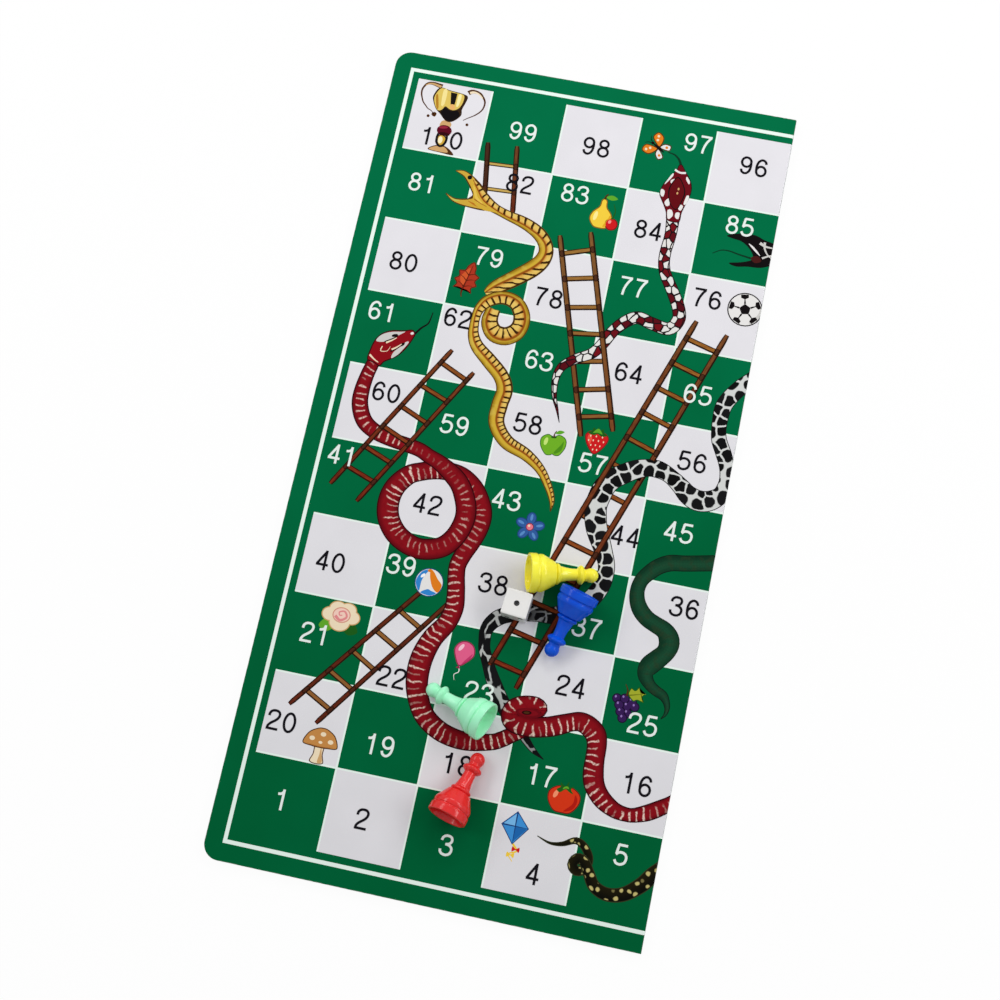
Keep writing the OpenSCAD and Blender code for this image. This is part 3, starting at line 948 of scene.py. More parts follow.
# Look, curve in squares with its half widths, then heights and marks, each as one value or as pairs of
# share of the length and value
SNAKES = {
    "left": {
        "gold": (
            "gold", [
                (1.01, 8.72, 0.03), (1.09, 8.61, 0.07), (1.18, 8.5, 0.095), (1.27, 8.44, 0.085),
                (1.37, 8.395, 0.068), (1.45, 8.365, 0.064), (1.58, 8.325, 0.068), (1.72, 8.29, 0.078),
                (1.86, 8.24, 0.085), (2.0, 8.16, 0.09), (2.1, 8.05, 0.092), (2.14, 7.93, 0.097),
                (2.11, 7.8, 0.107), (2.01, 7.67, 0.115), (1.86, 7.54, 0.113), (1.75, 7.45, 0.108),
                (1.63, 7.36, 0.098), (1.55, 7.29, 0.078), (1.49, 7.24, 0.04)],
            [(0, HEAD_H + 5 * INK_STEP), (0.15, HEAD_H + 5 * INK_STEP), (0.22, SNAKE_H), (1, SNAKE_H)],
            [
                (0, (0.1, 0, 0.1)), (0.14, (-0.1, 3.7, 0.15)), (0.28, (-0.35, 7.3, 0.25)),
                (0.45, (-0.3, 11.3, 0.3)), (0.55, (0.0, 13.6, 0.4)), (0.7, (-0.1, 16.6, 0.9)),
                (0.85, (-0.2, 19.4, 1.3)), (1, (-0.2, 22, 1.3))]),
        "gold_tail": (
            "gold", [
                (1.64, 7.05, 0.09), (1.62, 6.91, 0.105), (1.65, 6.81, 0.112), (1.73, 6.73, 0.12),
                (1.86, 6.72, 0.122), (1.97, 6.79, 0.118), (2.02, 6.9, 0.11), (2.01, 7.03, 0.108),
                (1.94, 7.15, 0.1), (1.84, 7.21, 0.094), (1.72, 7.22, 0.09), (1.61, 7.18, 0.086),
                (1.52, 7.11, 0.08), (1.46, 7.01, 0.066), (1.44, 6.91, 0.06), (1.44, 6.79, 0.062),
                (1.46, 6.66, 0.072), (1.54, 6.52, 0.085), (1.73, 6.36, 0.098), (1.92, 6.19, 0.1),
                (2.0, 6.02, 0.105), (1.98, 5.82, 0.105), (1.99, 5.58, 0.1), (2.16, 5.37, 0.095),
                (2.44, 5.25, 0.08), (2.65, 5.1, 0.062), (2.79, 4.91, 0.05), (2.87, 4.74, 0.035),
                (2.88, 4.6, 0.004)],
            [(0, COIL_H), (0.3, COIL_H + INK_STEP), (1, COIL_H + INK_STEP)],
            [
                (0, (-0.4, 0, 0.1)), (0.3, (-0.4, 15, 0.1)), (0.4, (-0.1, 21, 0.12)),
                (0.7, (0.0, 41, 0.15)), (1, (0.0, 65, 0.15))]),
        "patched": ("patched", [
            (3.64, 8.82, 0.095), (3.66, 8.49, 0.078), (3.64, 8.19, 0.075), (3.68, 7.97, 0.077),
            (3.83, 7.72, 0.082), (3.94, 7.52, 0.085), (3.97, 7.36, 0.087), (3.87, 7.22, 0.087),
            (3.64, 7.25, 0.087), (3.46, 7.29, 0.086), (3.31, 7.2, 0.084), (3.18, 7.04, 0.08),
            (3.09, 6.86, 0.077), (2.98, 6.71, 0.073), (2.8, 6.6, 0.068), (2.65, 6.47, 0.06),
            (2.6, 6.29, 0.048), (2.63, 6.07, 0.033), (2.7, 5.9, 0.018), (2.76, 5.74, 0.004)
        ], SNAKE_H, PLAIN_NET),
        "netted": (
            "netted", [
                (5.2, 6.95, 0.105), (5.03, 6.77, 0.105), (4.9, 6.64, 0.104), (4.79, 6.48, 0.106),
                (4.73, 6.34, 0.106), (4.72, 6.16, 0.098), (4.73, 6.02, 0.094), (4.76, 5.9, 0.098),
                (4.84, 5.75, 0.1), (4.89, 5.64, 0.096), (4.92, 5.51, 0.085), (4.92, 5.37, 0.08),
                (4.89, 5.22, 0.11), (4.77, 5.12, 0.13), (4.63, 5.1, 0.135), (4.5, 5.15, 0.125),
                (4.39, 5.24, 0.11), (4.24, 5.34, 0.1), (4.1, 5.39, 0.112), (3.97, 5.39, 0.113),
                (3.82, 5.34, 0.122), (3.69, 5.26, 0.128), (3.56, 5.16, 0.13), (3.48, 5.05, 0.138),
                (3.44, 4.92, 0.14), (3.42, 4.78, 0.138), (3.44, 4.65, 0.138), (3.47, 4.54, 0.136),
                (3.52, 4.43, 0.13), (3.58, 4.32, 0.12), (3.64, 4.2, 0.11), (3.69, 4.08, 0.105),
                (3.7, 3.95, 0.105), (3.67, 3.79, 0.11), (3.57, 3.61, 0.115), (3.39, 3.45, 0.115),
                (3.25, 3.37, 0.11), (3.14, 3.33, 0.105), (2.99, 3.32, 0.1), (2.87, 3.3, 0.1),
                (2.73, 3.27, 0.1), (2.6, 3.22, 0.1), (2.51, 3.16, 0.098), (2.44, 3.07, 0.09),
                (2.41, 2.97, 0.08), (2.42, 2.86, 0.074), (2.44, 2.76, 0.074), (2.49, 2.66, 0.075),
                (2.54, 2.56, 0.077), (2.6, 2.45, 0.085), (2.67, 2.34, 0.09), (2.74, 2.23, 0.095),
                (2.82, 2.13, 0.095), (2.96, 1.99, 0.08), (3.08, 1.87, 0.06), (3.17, 1.78, 0.05),
                (3.27, 1.69, 0.035), (3.41, 1.61, 0.004)],
            NETTED_H, [
                (0, PLAIN_NET), (0.66, PLAIN_NET), (0.72, (1.0, 0.0, 0.75)), (0.93, (1.0, 0.0, 0.6)),
                (1, (1.0, 0.0, 0.3))]),
        "red": (
            "red", [
                (0.3, 6.1, 0.085), (0.25, 5.87, 0.09), (0.23, 5.65, 0.1), (0.25, 5.47, 0.105),
                (0.35, 5.28, 0.105), (0.52, 5.17, 0.1), (0.74, 5.11, 0.095), (0.95, 5.08, 0.095),
                (1.12, 5.05, 0.095), (1.26, 4.99, 0.097), (1.41, 4.93, 0.105), (1.59, 4.82, 0.12),
                (1.72, 4.7, 0.125), (1.82, 4.52, 0.13), (1.86, 4.37, 0.13), (1.85, 4.22, 0.13),
                (1.79, 4.05, 0.13), (1.68, 3.91, 0.132), (1.53, 3.84, 0.133), (1.36, 3.82, 0.133),
                (1.19, 3.87, 0.135), (1.05, 3.96, 0.137), (0.94, 4.1, 0.138), (0.89, 4.25, 0.138),
                (0.89, 4.41, 0.136), (0.94, 4.56, 0.132), (1.06, 4.71, 0.125), (1.2, 4.78, 0.12),
                (1.35, 4.83, 0.12), (1.5, 4.85, 0.12), (1.68, 4.83, 0.12), (1.82, 4.76, 0.12),
                (1.93, 4.66, 0.12), (2.02, 4.52, 0.12), (2.06, 4.42, 0.12), (2.07, 4.32, 0.12),
                (2.05, 4.18, 0.12), (2.0, 4.03, 0.12), (1.94, 3.87, 0.112), (1.9, 3.72, 0.108),
                (1.91, 3.58, 0.108), (1.95, 3.38, 0.112), (1.97, 3.18, 0.118), (1.92, 2.98, 0.12),
                (1.79, 2.76, 0.13), (1.715, 2.5, 0.14), (1.715, 2.24, 0.138), (1.78, 2.02, 0.13),
                (1.91, 1.82, 0.125), (2.14, 1.68, 0.12), (2.43, 1.63, 0.112), (2.74, 1.68, 0.1),
                (2.87, 1.74, 0.097), (2.98, 1.82, 0.095), (3.1, 1.9, 0.09), (3.18, 1.95, 0.08)],
            [(0, RED_TOP_H), (1, RED_H)], [
                (0, (-0.5, 0.5, 0.9)), (0.14, (-0.5, 0.5, 0.9)), (0.17, (-0.4, 0.4, 0.15)),
                (0.22, (-0.35, 0.45, 0.2)), (0.25, (-0.35, 0.45, 0.55)), (0.3, (-0.35, 0.45, 0.55)),
                (0.34, (-0.5, 0.3, 0.5)), (0.37, (-0.6, 0.3, 0.6)), (0.41, (-0.85, 0.25, 0.9)),
                (0.46, (-0.9, 0.55, 1.0)), (0.53, (-0.9, 0.6, 1.0)), (0.56, (-0.55, 0.25, 0.5)),
                (0.64, (-0.55, 0.25, 0.5)), (0.67, (-0.85, 0.2, 0.8)), (0.73, (-0.9, 0.4, 1.0)),
                (0.78, RED_BARS), (1, RED_BARS)]),
        "red_tail": (
            "red", [
                (3.19, 2.13, 0.06), (3.26, 2.16, 0.07), (3.26, 2.21, 0.078), (3.2, 2.24, 0.085),
                (3.11, 2.23, 0.095), (3.01, 2.19, 0.11), (2.94, 2.13, 0.12), (2.92, 2.05, 0.125),
                (2.97, 1.98, 0.13), (3.07, 1.96, 0.13), (3.2, 1.96, 0.125), (3.38, 2.0, 0.123),
                (3.51, 2.05, 0.122), (3.64, 2.11, 0.112), (3.75, 2.14, 0.118), (3.86, 2.11, 0.126),
                (3.96, 2.03, 0.13), (4.0, 1.91, 0.12), (4.01, 1.74, 0.117), (4.02, 1.6, 0.125),
                (4.05, 1.47, 0.126), (4.12, 1.36, 0.118), (4.22, 1.27, 0.11), (4.36, 1.2, 0.095),
                (4.49, 1.18, 0.086), (4.59, 1.19, 0.086), (4.74, 1.25, 0.097), (4.87, 1.33, 0.095),
                (4.97, 1.4, 0.088), (5.07, 1.48, 0.085), (5.2, 1.58, 0.08)],
            [(0, SPIRAL_H), (0.25, SPIRAL_H + INK_STEP), (1, SPIRAL_H + INK_STEP)],
            [
                (0, (-1.0, -0.1, 1.0)), (0.17, (-1.0, 0.0, 1.0)), (0.24, (-0.95, 0.35, 1.0)),
                (0.75, (-0.95, 0.35, 1.0)), (0.85, (-0.95, 0.6, 1.0)), (1, (-0.95, 0.6, 1.0))]),
        "green": ("green", [
            (5.2, 4.42, 0.1), (5.08, 4.39, 0.1), (4.99, 4.37, 0.1), (4.81, 4.33, 0.1), (4.62, 4.29, 0.1),
            (4.45, 4.26, 0.103), (4.32, 4.19, 0.1), (4.23, 4.1, 0.097), (4.15, 3.99, 0.09),
            (4.12, 3.86, 0.09), (4.14, 3.73, 0.096), (4.2, 3.62, 0.102), (4.3, 3.53, 0.103),
            (4.41, 3.48, 0.104), (4.53, 3.43, 0.11), (4.6, 3.35, 0.125), (4.62, 3.26, 0.125),
            (4.59, 3.16, 0.115), (4.51, 3.06, 0.12), (4.43, 2.96, 0.12), (4.41, 2.85, 0.095),
            (4.48, 2.75, 0.072), (4.57, 2.69, 0.065), (4.66, 2.65, 0.06), (4.71, 2.59, 0.045),
            (4.74, 2.51, 0.032), (4.73, 2.43, 0.02), (4.69, 2.37, 0.006)], SNAKE_H, PLAIN_NET),
        "spotted": ("spotted", [
            (3.52, 0.72, 0.005), (3.68, 0.67, 0.016), (3.83, 0.69, 0.028), (3.98, 0.76, 0.042),
            (4.1, 0.7, 0.048), (4.17, 0.58, 0.052), (4.14, 0.46, 0.056), (4.05, 0.42, 0.06),
            (3.99, 0.48, 0.062), (4.03, 0.56, 0.064), (4.12, 0.54, 0.066), (4.2, 0.42, 0.07),
            (4.29, 0.29, 0.075), (4.45, 0.23, 0.08), (4.64, 0.27, 0.084), (4.82, 0.41, 0.09),
            (4.95, 0.57, 0.095), (5.15, 0.75, 0.1)], [(0, SNAKE_H), (1, RED_H)], PLAIN_NET),
    },
    "right": {
        "red_tail": ("red", [
            (4.74, 1.25, 0.097), (4.87, 1.33, 0.095), (4.97, 1.4, 0.088), (5.07, 1.48, 0.085),
            (5.2, 1.58, 0.08), (5.45, 1.72, 0.074), (5.75, 1.75, 0.068), (6.02, 1.62, 0.06),
            (6.22, 1.42, 0.052), (6.46, 1.3, 0.044), (6.72, 1.36, 0.032), (6.88, 1.55, 0.018),
            (6.92, 1.72, 0.005)], RED_H, (-0.95, 0.6, 1.0)),
        "netted": ("netted", [
            (4.79, 6.48, 0.106), (4.9, 6.64, 0.104), (5.03, 6.77, 0.105), (5.2, 6.95, 0.105),
            (5.46, 7.12, 0.11), (5.76, 7.14, 0.115), (6.04, 7.05, 0.12), (6.34, 7.02, 0.12),
            (6.6, 7.16, 0.12), (6.72, 7.42, 0.12), (6.7, 7.7, 0.12)], NETTED_H, PLAIN_NET),
        "green": ("green", [
            (4.81, 4.33, 0.1), (4.99, 4.37, 0.1), (5.2, 4.42, 0.1), (5.48, 4.44, 0.095),
            (5.74, 4.36, 0.095), (5.98, 4.3, 0.09), (6.2, 4.4, 0.09), (6.32, 4.62, 0.09), (6.34, 4.86, 0.09)
        ], SNAKE_H, PLAIN_NET),
        "spotted": ("spotted", [
            (4.82, 0.41, 0.09), (4.95, 0.57, 0.095), (5.15, 0.75, 0.1), (5.42, 0.86, 0.1),
            (5.72, 0.82, 0.1), (6.0, 0.68, 0.1), (6.3, 0.6, 0.098), (6.6, 0.68, 0.095), (6.84, 0.88, 0.09),
            (6.98, 1.14, 0.085)], SNAKE_H, PLAIN_NET),
        "black": ("netted", [
            (4.82, 8.44, 0.13), (5.0, 8.46, 0.13), (5.25, 8.44, 0.125), (5.55, 8.4, 0.12),
            (5.85, 8.48, 0.116), (6.12, 8.62, 0.11), (6.42, 8.64, 0.1), (6.7, 8.52, 0.085),
            (6.92, 8.34, 0.065), (7.16, 8.26, 0.045), (7.38, 8.34, 0.025), (7.52, 8.52, 0.005)
        ], SNAKE_H, PLAIN_NET),
        "gold": (
            "gold", [
                (9.5, 6.9, 0.08), (9.4, 6.62, 0.095), (9.18, 6.4, 0.105), (8.94, 6.22, 0.105),
                (8.82, 5.95, 0.105), (8.92, 5.66, 0.105), (9.14, 5.45, 0.105), (9.25, 5.18, 0.103),
                (9.12, 4.92, 0.1), (8.84, 4.74, 0.098), (8.48, 4.56, 0.09), (8.1, 4.36, 0.078),
                (7.72, 4.2, 0.062), (7.42, 4.0, 0.042), (7.3, 3.72, 0.02), (7.38, 3.46, 0.005)],
            SNAKE_H, [(0, (-0.15, 0, 0.3)), (0.5, (-0.15, 26, 0.3)), (1, (0.0, 60, 0.2))]),
        "patched": ("patched", [
            (7.9, 2.86, 0.08), (7.8, 2.6, 0.082), (7.85, 2.3, 0.085), (8.06, 2.1, 0.083), (8.3, 1.94, 0.07),
            (8.4, 1.68, 0.05), (8.3, 1.44, 0.028), (8.1, 1.3, 0.005)], SNAKE_H, PLAIN_NET),
    },
}
SNAKE_STEP = 0.035


def snakes(side, looks):
    for name, (look, path, levels, signs) in SNAKES[side].items():
        drawing = Print(side)
        drawing.ribbon(smooth_path(path, SNAKE_STEP), levels, signs)
        drawing.build(side + "_printed_" + name + "_snake", [looks[look]])


# Heads and pictures, in squares

BLACK = rgb(18, 14, 16)
WHITE = rgb(232, 230, 228)
GREY = rgb(206, 204, 200)
MAROON = rgb(106, 14, 26)
RED = rgb(206, 30, 34)
PINK = rgb(232, 120, 140)
GOLD = rgb(206, 166, 62)
OCHRE = rgb(180, 128, 40)
BROWN = rgb(78, 44, 18)
TAN = rgb(206, 164, 110)
CREAM = rgb(240, 222, 190)
YELLOW = rgb(244, 206, 66)
ORANGE = rgb(226, 126, 32)
LEAF = rgb(96, 168, 44)
DARK_LEAF = rgb(30, 92, 28)
SKY = rgb(52, 134, 208)
NAVY = rgb(30, 62, 120)
PLUM = rgb(56, 30, 84)
SHADE = rgb(14, 52, 34)

# Layer that lies over the numbers
OVER_NUMBERS = 58

# Heads on the seen half and, last, the dark heart of the red tail's coil
HEADS = {
    "red": [
        (0, BLACK, line(0.014, (0.72, 6.52), (0.79, 6.62), (0.86, 6.69), (0.88, 6.77), (0.89, 6.85))),
        *rimmed(0, rgb(40, 6, 12), rgb(142, 16, 26), curve(
            (0.2, 6.08), (0.21, 6.22), (0.23, 6.32), (0.26, 6.39), (0.32, 6.46), (0.42, 6.515),
            (0.52, 6.535), (0.6, 6.55), (0.65, 6.57), (0.7, 6.57), (0.735, 6.525), (0.72, 6.46),
            (0.69, 6.38), (0.64, 6.28), (0.57, 6.19), (0.49, 6.13), (0.42, 6.08), (0.38, 6.02), (0.29, 6.05)
        ), 0.014),
        (2, GREY, curve(
            (0.26, 6.34), (0.29, 6.41), (0.36, 6.465), (0.45, 6.5), (0.55, 6.52), (0.6, 6.53), (0.53, 6.47),
            (0.47, 6.42), (0.4, 6.37), (0.34, 6.34))),
        (2, GREY, curve(
            (0.5, 6.15), (0.57, 6.21), (0.62, 6.29), (0.675, 6.4), (0.64, 6.4), (0.58, 6.32), (0.51, 6.23)
        )),
        (3, BLACK, oval(0.48, 6.455, 0.042, 0.02, 20)),
        (3, BLACK, oval(0.6, 6.355, 0.036, 0.018, 45)),
        (3, BLACK, line(0.012, (0.37, 6.345), (0.45, 6.4), (0.52, 6.455))),
        (3, BLACK, line(0.012, (0.47, 6.235), (0.54, 6.29), (0.6, 6.365))),
        (4, CREAM, line(0.012, (0.39, 6.34), (0.45, 6.38), (0.51, 6.43))),
        (4, CREAM, line(0.012, (0.48, 6.265), (0.53, 6.3), (0.59, 6.36))),
        (4, CREAM, line(0.007, (0.355, 6.285), (0.345, 6.22), (0.43, 6.235), (0.455, 6.3))),
        (4, WHITE, oval(0.69, 6.525, 0.022, 0.017, 30)),
        (4, CREAM, line(0.013, (0.22, 6.145), (0.29, 6.095), (0.35, 6.065))),
    ],
    "gold": [
        (1, GOLD, curve(
            (0.76, 8.81), (0.83, 8.83), (0.9, 8.82), (0.96, 8.79), (1.05, 8.73), (1.14, 8.66), (1.18, 8.56),
            (1.1, 8.48), (1.05, 8.54), (1.01, 8.6), (0.98, 8.65), (0.94, 8.69), (0.9, 8.74), (0.83, 8.78))),
        (1, GOLD, curve(
            (0.7, 8.48), (0.75, 8.45), (0.82, 8.43), (0.89, 8.43), (0.96, 8.45), (1.03, 8.465),
            (1.12, 8.52), (1.24, 8.48), (1.3, 8.38), (1.24, 8.335), (1.09, 8.345), (0.92, 8.36),
            (0.84, 8.38), (0.77, 8.41))),
        (7, rgb(208, 170, 58), curve(
            (0.985, 8.72), (1.02, 8.705), (1.095, 8.605), (1.17, 8.495), (1.25, 8.43), (1.33, 8.39),
            (1.42, 8.345), (1.34, 8.338), (1.22, 8.345), (1.1, 8.4), (1.06, 8.48), (1.05, 8.55), (1.0, 8.63)
        )),
        (8, rgb(228, 192, 84), curve(
            (1.03, 8.655), (1.08, 8.58), (1.12, 8.5), (1.2, 8.43), (1.13, 8.43), (1.07, 8.52))),
        (8, rgb(152, 78, 22), line(
            0.009, (1.04, 8.685), (1.1, 8.6), (1.17, 8.5), (1.25, 8.435), (1.36, 8.385))),
        (2, rgb(186, 116, 34), curve((1.0, 8.43), (1.1, 8.41), (1.24, 8.38), (1.12, 8.375))),
        (2, rgb(186, 190, 90), curve((0.75, 8.44), (0.82, 8.42), (0.9, 8.415), (0.84, 8.395))),
        (3, BROWN, line(
            0.01, (1.2, 8.6), (1.12, 8.68), (1.05, 8.735), (0.96, 8.795), (0.86, 8.83), (0.76, 8.81))),
        (3, BROWN, line(
            0.011, (1.05, 8.475), (1.055, 8.53), (1.01, 8.6), (0.95, 8.68), (0.88, 8.755), (0.77, 8.805))),
        (3, BROWN, line(0.01, (1.06, 8.485), (1.0, 8.455), (0.92, 8.435), (0.82, 8.43), (0.7, 8.48))),
        (3, BROWN, line(
            0.01, (1.24, 8.345), (1.18, 8.342), (1.09, 8.345), (0.92, 8.36), (0.8, 8.395), (0.7, 8.475))),
        (4, BLACK, oval(0.96, 8.752, 0.031, 0.029, 30)),
        (9, rgb(166, 104, 34), line(0.009, (1.08, 8.47), (1.16, 8.43), (1.26, 8.395))),
        (3, BROWN, curve((1.0, 8.465), (1.05, 8.475), (1.055, 8.53), (1.035, 8.5))),
    ],
    "patched": [
        (0, SHADE, line(0.016, (3.615, 9.44), (3.58, 9.51), (3.51, 9.57), (3.42, 9.59))),
        *rimmed(0, BLACK, MAROON, curve(
            (3.57, 9.37), (3.59, 9.44), (3.63, 9.45), (3.69, 9.37), (3.76, 9.28), (3.8, 9.2), (3.815, 9.1),
            (3.8, 9.0), (3.77, 8.9), (3.745, 8.79), (3.73, 8.66), (3.58, 8.66), (3.545, 8.76), (3.5, 8.85),
            (3.45, 8.93), (3.415, 9.0), (3.42, 9.08), (3.45, 9.17), (3.51, 9.27)), 0.01),
        (2, BLACK, curve(
            (3.595, 9.27), (3.66, 9.24), (3.735, 9.1), (3.73, 8.98), (3.67, 8.82), (3.58, 8.88),
            (3.525, 9.02), (3.53, 9.14))),
        (3, rgb(98, 14, 22), curve(
            (3.6, 9.255), (3.655, 9.225), (3.72, 9.1), (3.715, 8.98), (3.665, 8.835), (3.585, 8.89),
            (3.54, 9.02), (3.545, 9.14))),
        (2, WHITE, curve(
            (3.545, 9.355), (3.62, 9.325), (3.7, 9.335), (3.695, 9.36), (3.62, 9.35), (3.555, 9.38))),
        (2, WHITE, curve((3.53, 9.31), (3.545, 9.28), (3.48, 9.17), (3.455, 9.15))),
        (2, WHITE, curve((3.57, 9.24), (3.575, 9.2), (3.535, 9.17), (3.525, 9.21))),
        (2, WHITE, curve((3.72, 9.3), (3.77, 9.24), (3.765, 9.2), (3.715, 9.26))),
        (2, WHITE, curve((3.425, 9.07), (3.475, 9.05), (3.47, 8.97), (3.43, 8.99))),
        (2, WHITE, curve((3.5, 8.9), (3.545, 8.96), (3.57, 8.87), (3.53, 8.85))),
        (2, WHITE, curve((3.765, 9.04), (3.8, 9.03), (3.775, 8.92), (3.745, 8.92))),
        (2, WHITE, curve((3.7, 8.9), (3.745, 8.89), (3.725, 8.82), (3.69, 8.84))),
        (2, WHITE, curve((3.56, 8.8), (3.61, 8.81), (3.64, 8.74), (3.6, 8.68), (3.575, 8.7))),
        (2, WHITE, curve((3.67, 8.78), (3.72, 8.79), (3.715, 8.7), (3.67, 8.72))),
        *spread(4, TAN, 0.012, 0.018, (3.645, 9.11), (3.64, 9.05)),
    ],
    "black": [
        (0, SHADE, line(0.012, (4.75, 8.35), (4.57, 8.375), (4.43, 8.4), (4.33, 8.39), (4.23, 8.33))),
        (1, BLACK, curve(
            (4.37, 8.6), (4.47, 8.645), (4.62, 8.67), (4.74, 8.67), (4.85, 8.63), (5.02, 8.6), (5.2, 8.58),
            (5.2, 8.33), (5.02, 8.31), (4.86, 8.25), (4.7, 8.235), (4.55, 8.21), (4.46, 8.24), (4.6, 8.275),
            (4.73, 8.33), (4.74, 8.4), (4.66, 8.5), (4.56, 8.56), (4.46, 8.575))),
        (2, rgb(70, 26, 24), curve((4.72, 8.36), (4.8, 8.4), (4.86, 8.34), (4.78, 8.3))),
        (2, WHITE, curve((4.66, 8.545), (4.72, 8.52), (4.8, 8.45), (4.83, 8.405), (4.75, 8.46))),
        (2, GREY, line(0.02, (4.8, 8.58), (4.88, 8.545), (4.97, 8.54))),
        (2, GREY, line(0.016, (4.86, 8.6), (4.87, 8.52), (4.92, 8.44), (4.98, 8.4))),
        (2, GREY, line(0.013, (4.86, 8.38), (4.93, 8.42), (5.02, 8.46), (5.1, 8.5))),
    ],
    "coil": [
        (0, rgb(108, 13, 23), oval(3.125, 2.115, 0.16, 0.055, 4)),
        (1, rgb(126, 16, 26), oval(3.12, 2.118, 0.12, 0.036, 4)),
        (2, rgb(44, 6, 12), oval(3.1, 2.115, 0.06, 0.026, 8)),
        (3, rgb(74, 44, 20), oval(3.1, 2.115, 0.036, 0.014, 8)),
    ],
}

# The cup in the last square
CUP = [
    (0, BROWN, line(0.034, (0.33, 9.94), (0.26, 9.955), (0.2, 9.965), (0.14, 9.955), (0.1, 9.92))),
    (0, BROWN, line(
        0.013, (0.11, 9.93), (0.08, 9.87), (0.08, 9.8), (0.1, 9.74), (0.13, 9.68), (0.17, 9.64),
        (0.21, 9.6), (0.26, 9.58), (0.31, 9.53))),
    (1, TAN, line(0.017, (0.32, 9.935), (0.26, 9.95), (0.2, 9.96), (0.15, 9.95), (0.11, 9.92))),
    (0, BROWN, line(0.034, (0.69, 9.915), (0.73, 9.945), (0.78, 9.95), (0.85, 9.93), (0.91, 9.87))),
    (0, BROWN, line(
        0.013, (0.9, 9.885), (0.93, 9.83), (0.93, 9.76), (0.91, 9.7), (0.86, 9.64), (0.81, 9.6),
        (0.75, 9.56), (0.7, 9.52))),
    (1, CREAM, line(0.017, (0.71, 9.92), (0.74, 9.935), (0.78, 9.94), (0.84, 9.92), (0.89, 9.875))),
    (0, BROWN, curve((0.27, 9.53), (0.3, 9.57), (0.34, 9.55), (0.32, 9.5))),
    (0, BROWN, oval(0.235, 9.5, 0.02, 0.02)),
    (0, BROWN, oval(0.765, 9.47, 0.02, 0.02)),
    (1, rgb(52, 34, 20), curve(
        (0.33, 9.93), (0.44, 9.91), (0.55, 9.9), (0.65, 9.885), (0.695, 9.86), (0.685, 9.78), (0.655, 9.67),
        (0.66, 9.58), (0.57, 9.48), (0.48, 9.47), (0.38, 9.56), (0.32, 9.61), (0.27, 9.69), (0.24, 9.77),
        (0.25, 9.83), (0.28, 9.9))),
    (2, rgb(222, 194, 96), curve(
        (0.33, 9.92), (0.44, 9.9), (0.55, 9.89), (0.64, 9.87), (0.645, 9.77), (0.61, 9.68), (0.55, 9.64),
        (0.49, 9.645), (0.43, 9.675), (0.395, 9.62), (0.345, 9.6), (0.29, 9.67), (0.26, 9.77), (0.28, 9.85)
    )),
    (3, rgb(244, 226, 150), curve((0.36, 9.9), (0.41, 9.9), (0.41, 9.7), (0.37, 9.68))),
    (3, OCHRE, curve((0.275, 9.8), (0.3, 9.82), (0.345, 9.63), (0.315, 9.64))),
    (3, rgb(24, 20, 18), poly((0.46, 9.885), (0.55, 9.88), (0.545, 9.72), (0.49, 9.715))),
    (3, rgb(232, 178, 106), curve((0.49, 9.71), (0.54, 9.715), (0.56, 9.655), (0.5, 9.645))),
    (3, rgb(246, 236, 170), curve((0.57, 9.87), (0.61, 9.865), (0.6, 9.72), (0.57, 9.7))),
    (2, BLACK, curve(
        (0.39, 9.575), (0.43, 9.655), (0.51, 9.62), (0.6, 9.64), (0.64, 9.57), (0.56, 9.49), (0.48, 9.485)
    )),
    (1, TAN, curve((0.44, 9.47), (0.55, 9.46), (0.55, 9.39), (0.42, 9.38))),
    (OVER_NUMBERS, rgb(92, 10, 32), oval(0.49, 9.335, 0.098, 0.075)),
    (OVER_NUMBERS + 1, rgb(150, 40, 60), oval(0.47, 9.375, 0.06, 0.018, 10)),
    (OVER_NUMBERS + 1, rgb(50, 8, 16), oval(0.5, 9.285, 0.07, 0.024)),
    (1, BROWN, oval(0.475, 9.19, 0.075, 0.085)),
    (2, GOLD, oval(0.475, 9.19, 0.06, 0.07)),
    (3, rgb(250, 238, 196), oval(0.465, 9.195, 0.03, 0.05)),
    (1, BROWN, curve((0.33, 9.04), (0.42, 9.11), (0.56, 9.115), (0.68, 9.015), (0.5, 9.02))),
    (2, TAN, curve((0.345, 9.045), (0.43, 9.1), (0.54, 9.105), (0.6, 9.04), (0.49, 9.03))),
]

RUST = rgb(92, 30, 16)
GRAPE_RIM = rgb(26, 14, 44)
BALLOON_RIM = rgb(150, 40, 80)
SIDES = (-1, 1)
# A fifth of a turn, to four places
FIFTH = 1.2566
PETALS = [k * FIFTH + 0.3 for k in range(5)]
UPPER_WING = [(0.05, 0.05), (0.35, 0.8), (0.9, 0.75), (0.85, 0.2), (0.35, -0.05)]
LOWER_WING = [(0.05, -0.08), (0.5, -0.15), (0.7, -0.6), (0.3, -0.75)]
# Corners of an outer patch of the football: turn away from its spoke, and reach
BALL_PATCH = [(0, 0.5478), (-0.3, 0.664), (-0.24, 0.83), (0.24, 0.83), (0.3, 0.664)]
ROSE_LEAVES = [(-0.5, 0.1, 0.4), (0.5, 0.1, 0.4), (-0.2, 0.4, 0.42), (0.26, 0.4, 0.42), (0, -0.2, 0.5)]
GRAPES = [(-0.5, 0.2), (-0.12, 0.26), (0.26, 0.2), (-0.34, -0.1), (0.06, -0.08), (-0.22, -0.42),
          (0.12, -0.44), (-0.06, -0.72), (0.44, -0.06)]


def spoke(k, reach, aside=0.0):
    """A place on one of five spokes, the first of them upright."""
    return (reach * math.sin(k * FIFTH + aside), reach * math.cos(k * FIFTH + aside))


def petal(angle, reach, long, wide):
    return oval(reach * math.cos(angle), reach * math.sin(angle), long, wide, math.degrees(angle))


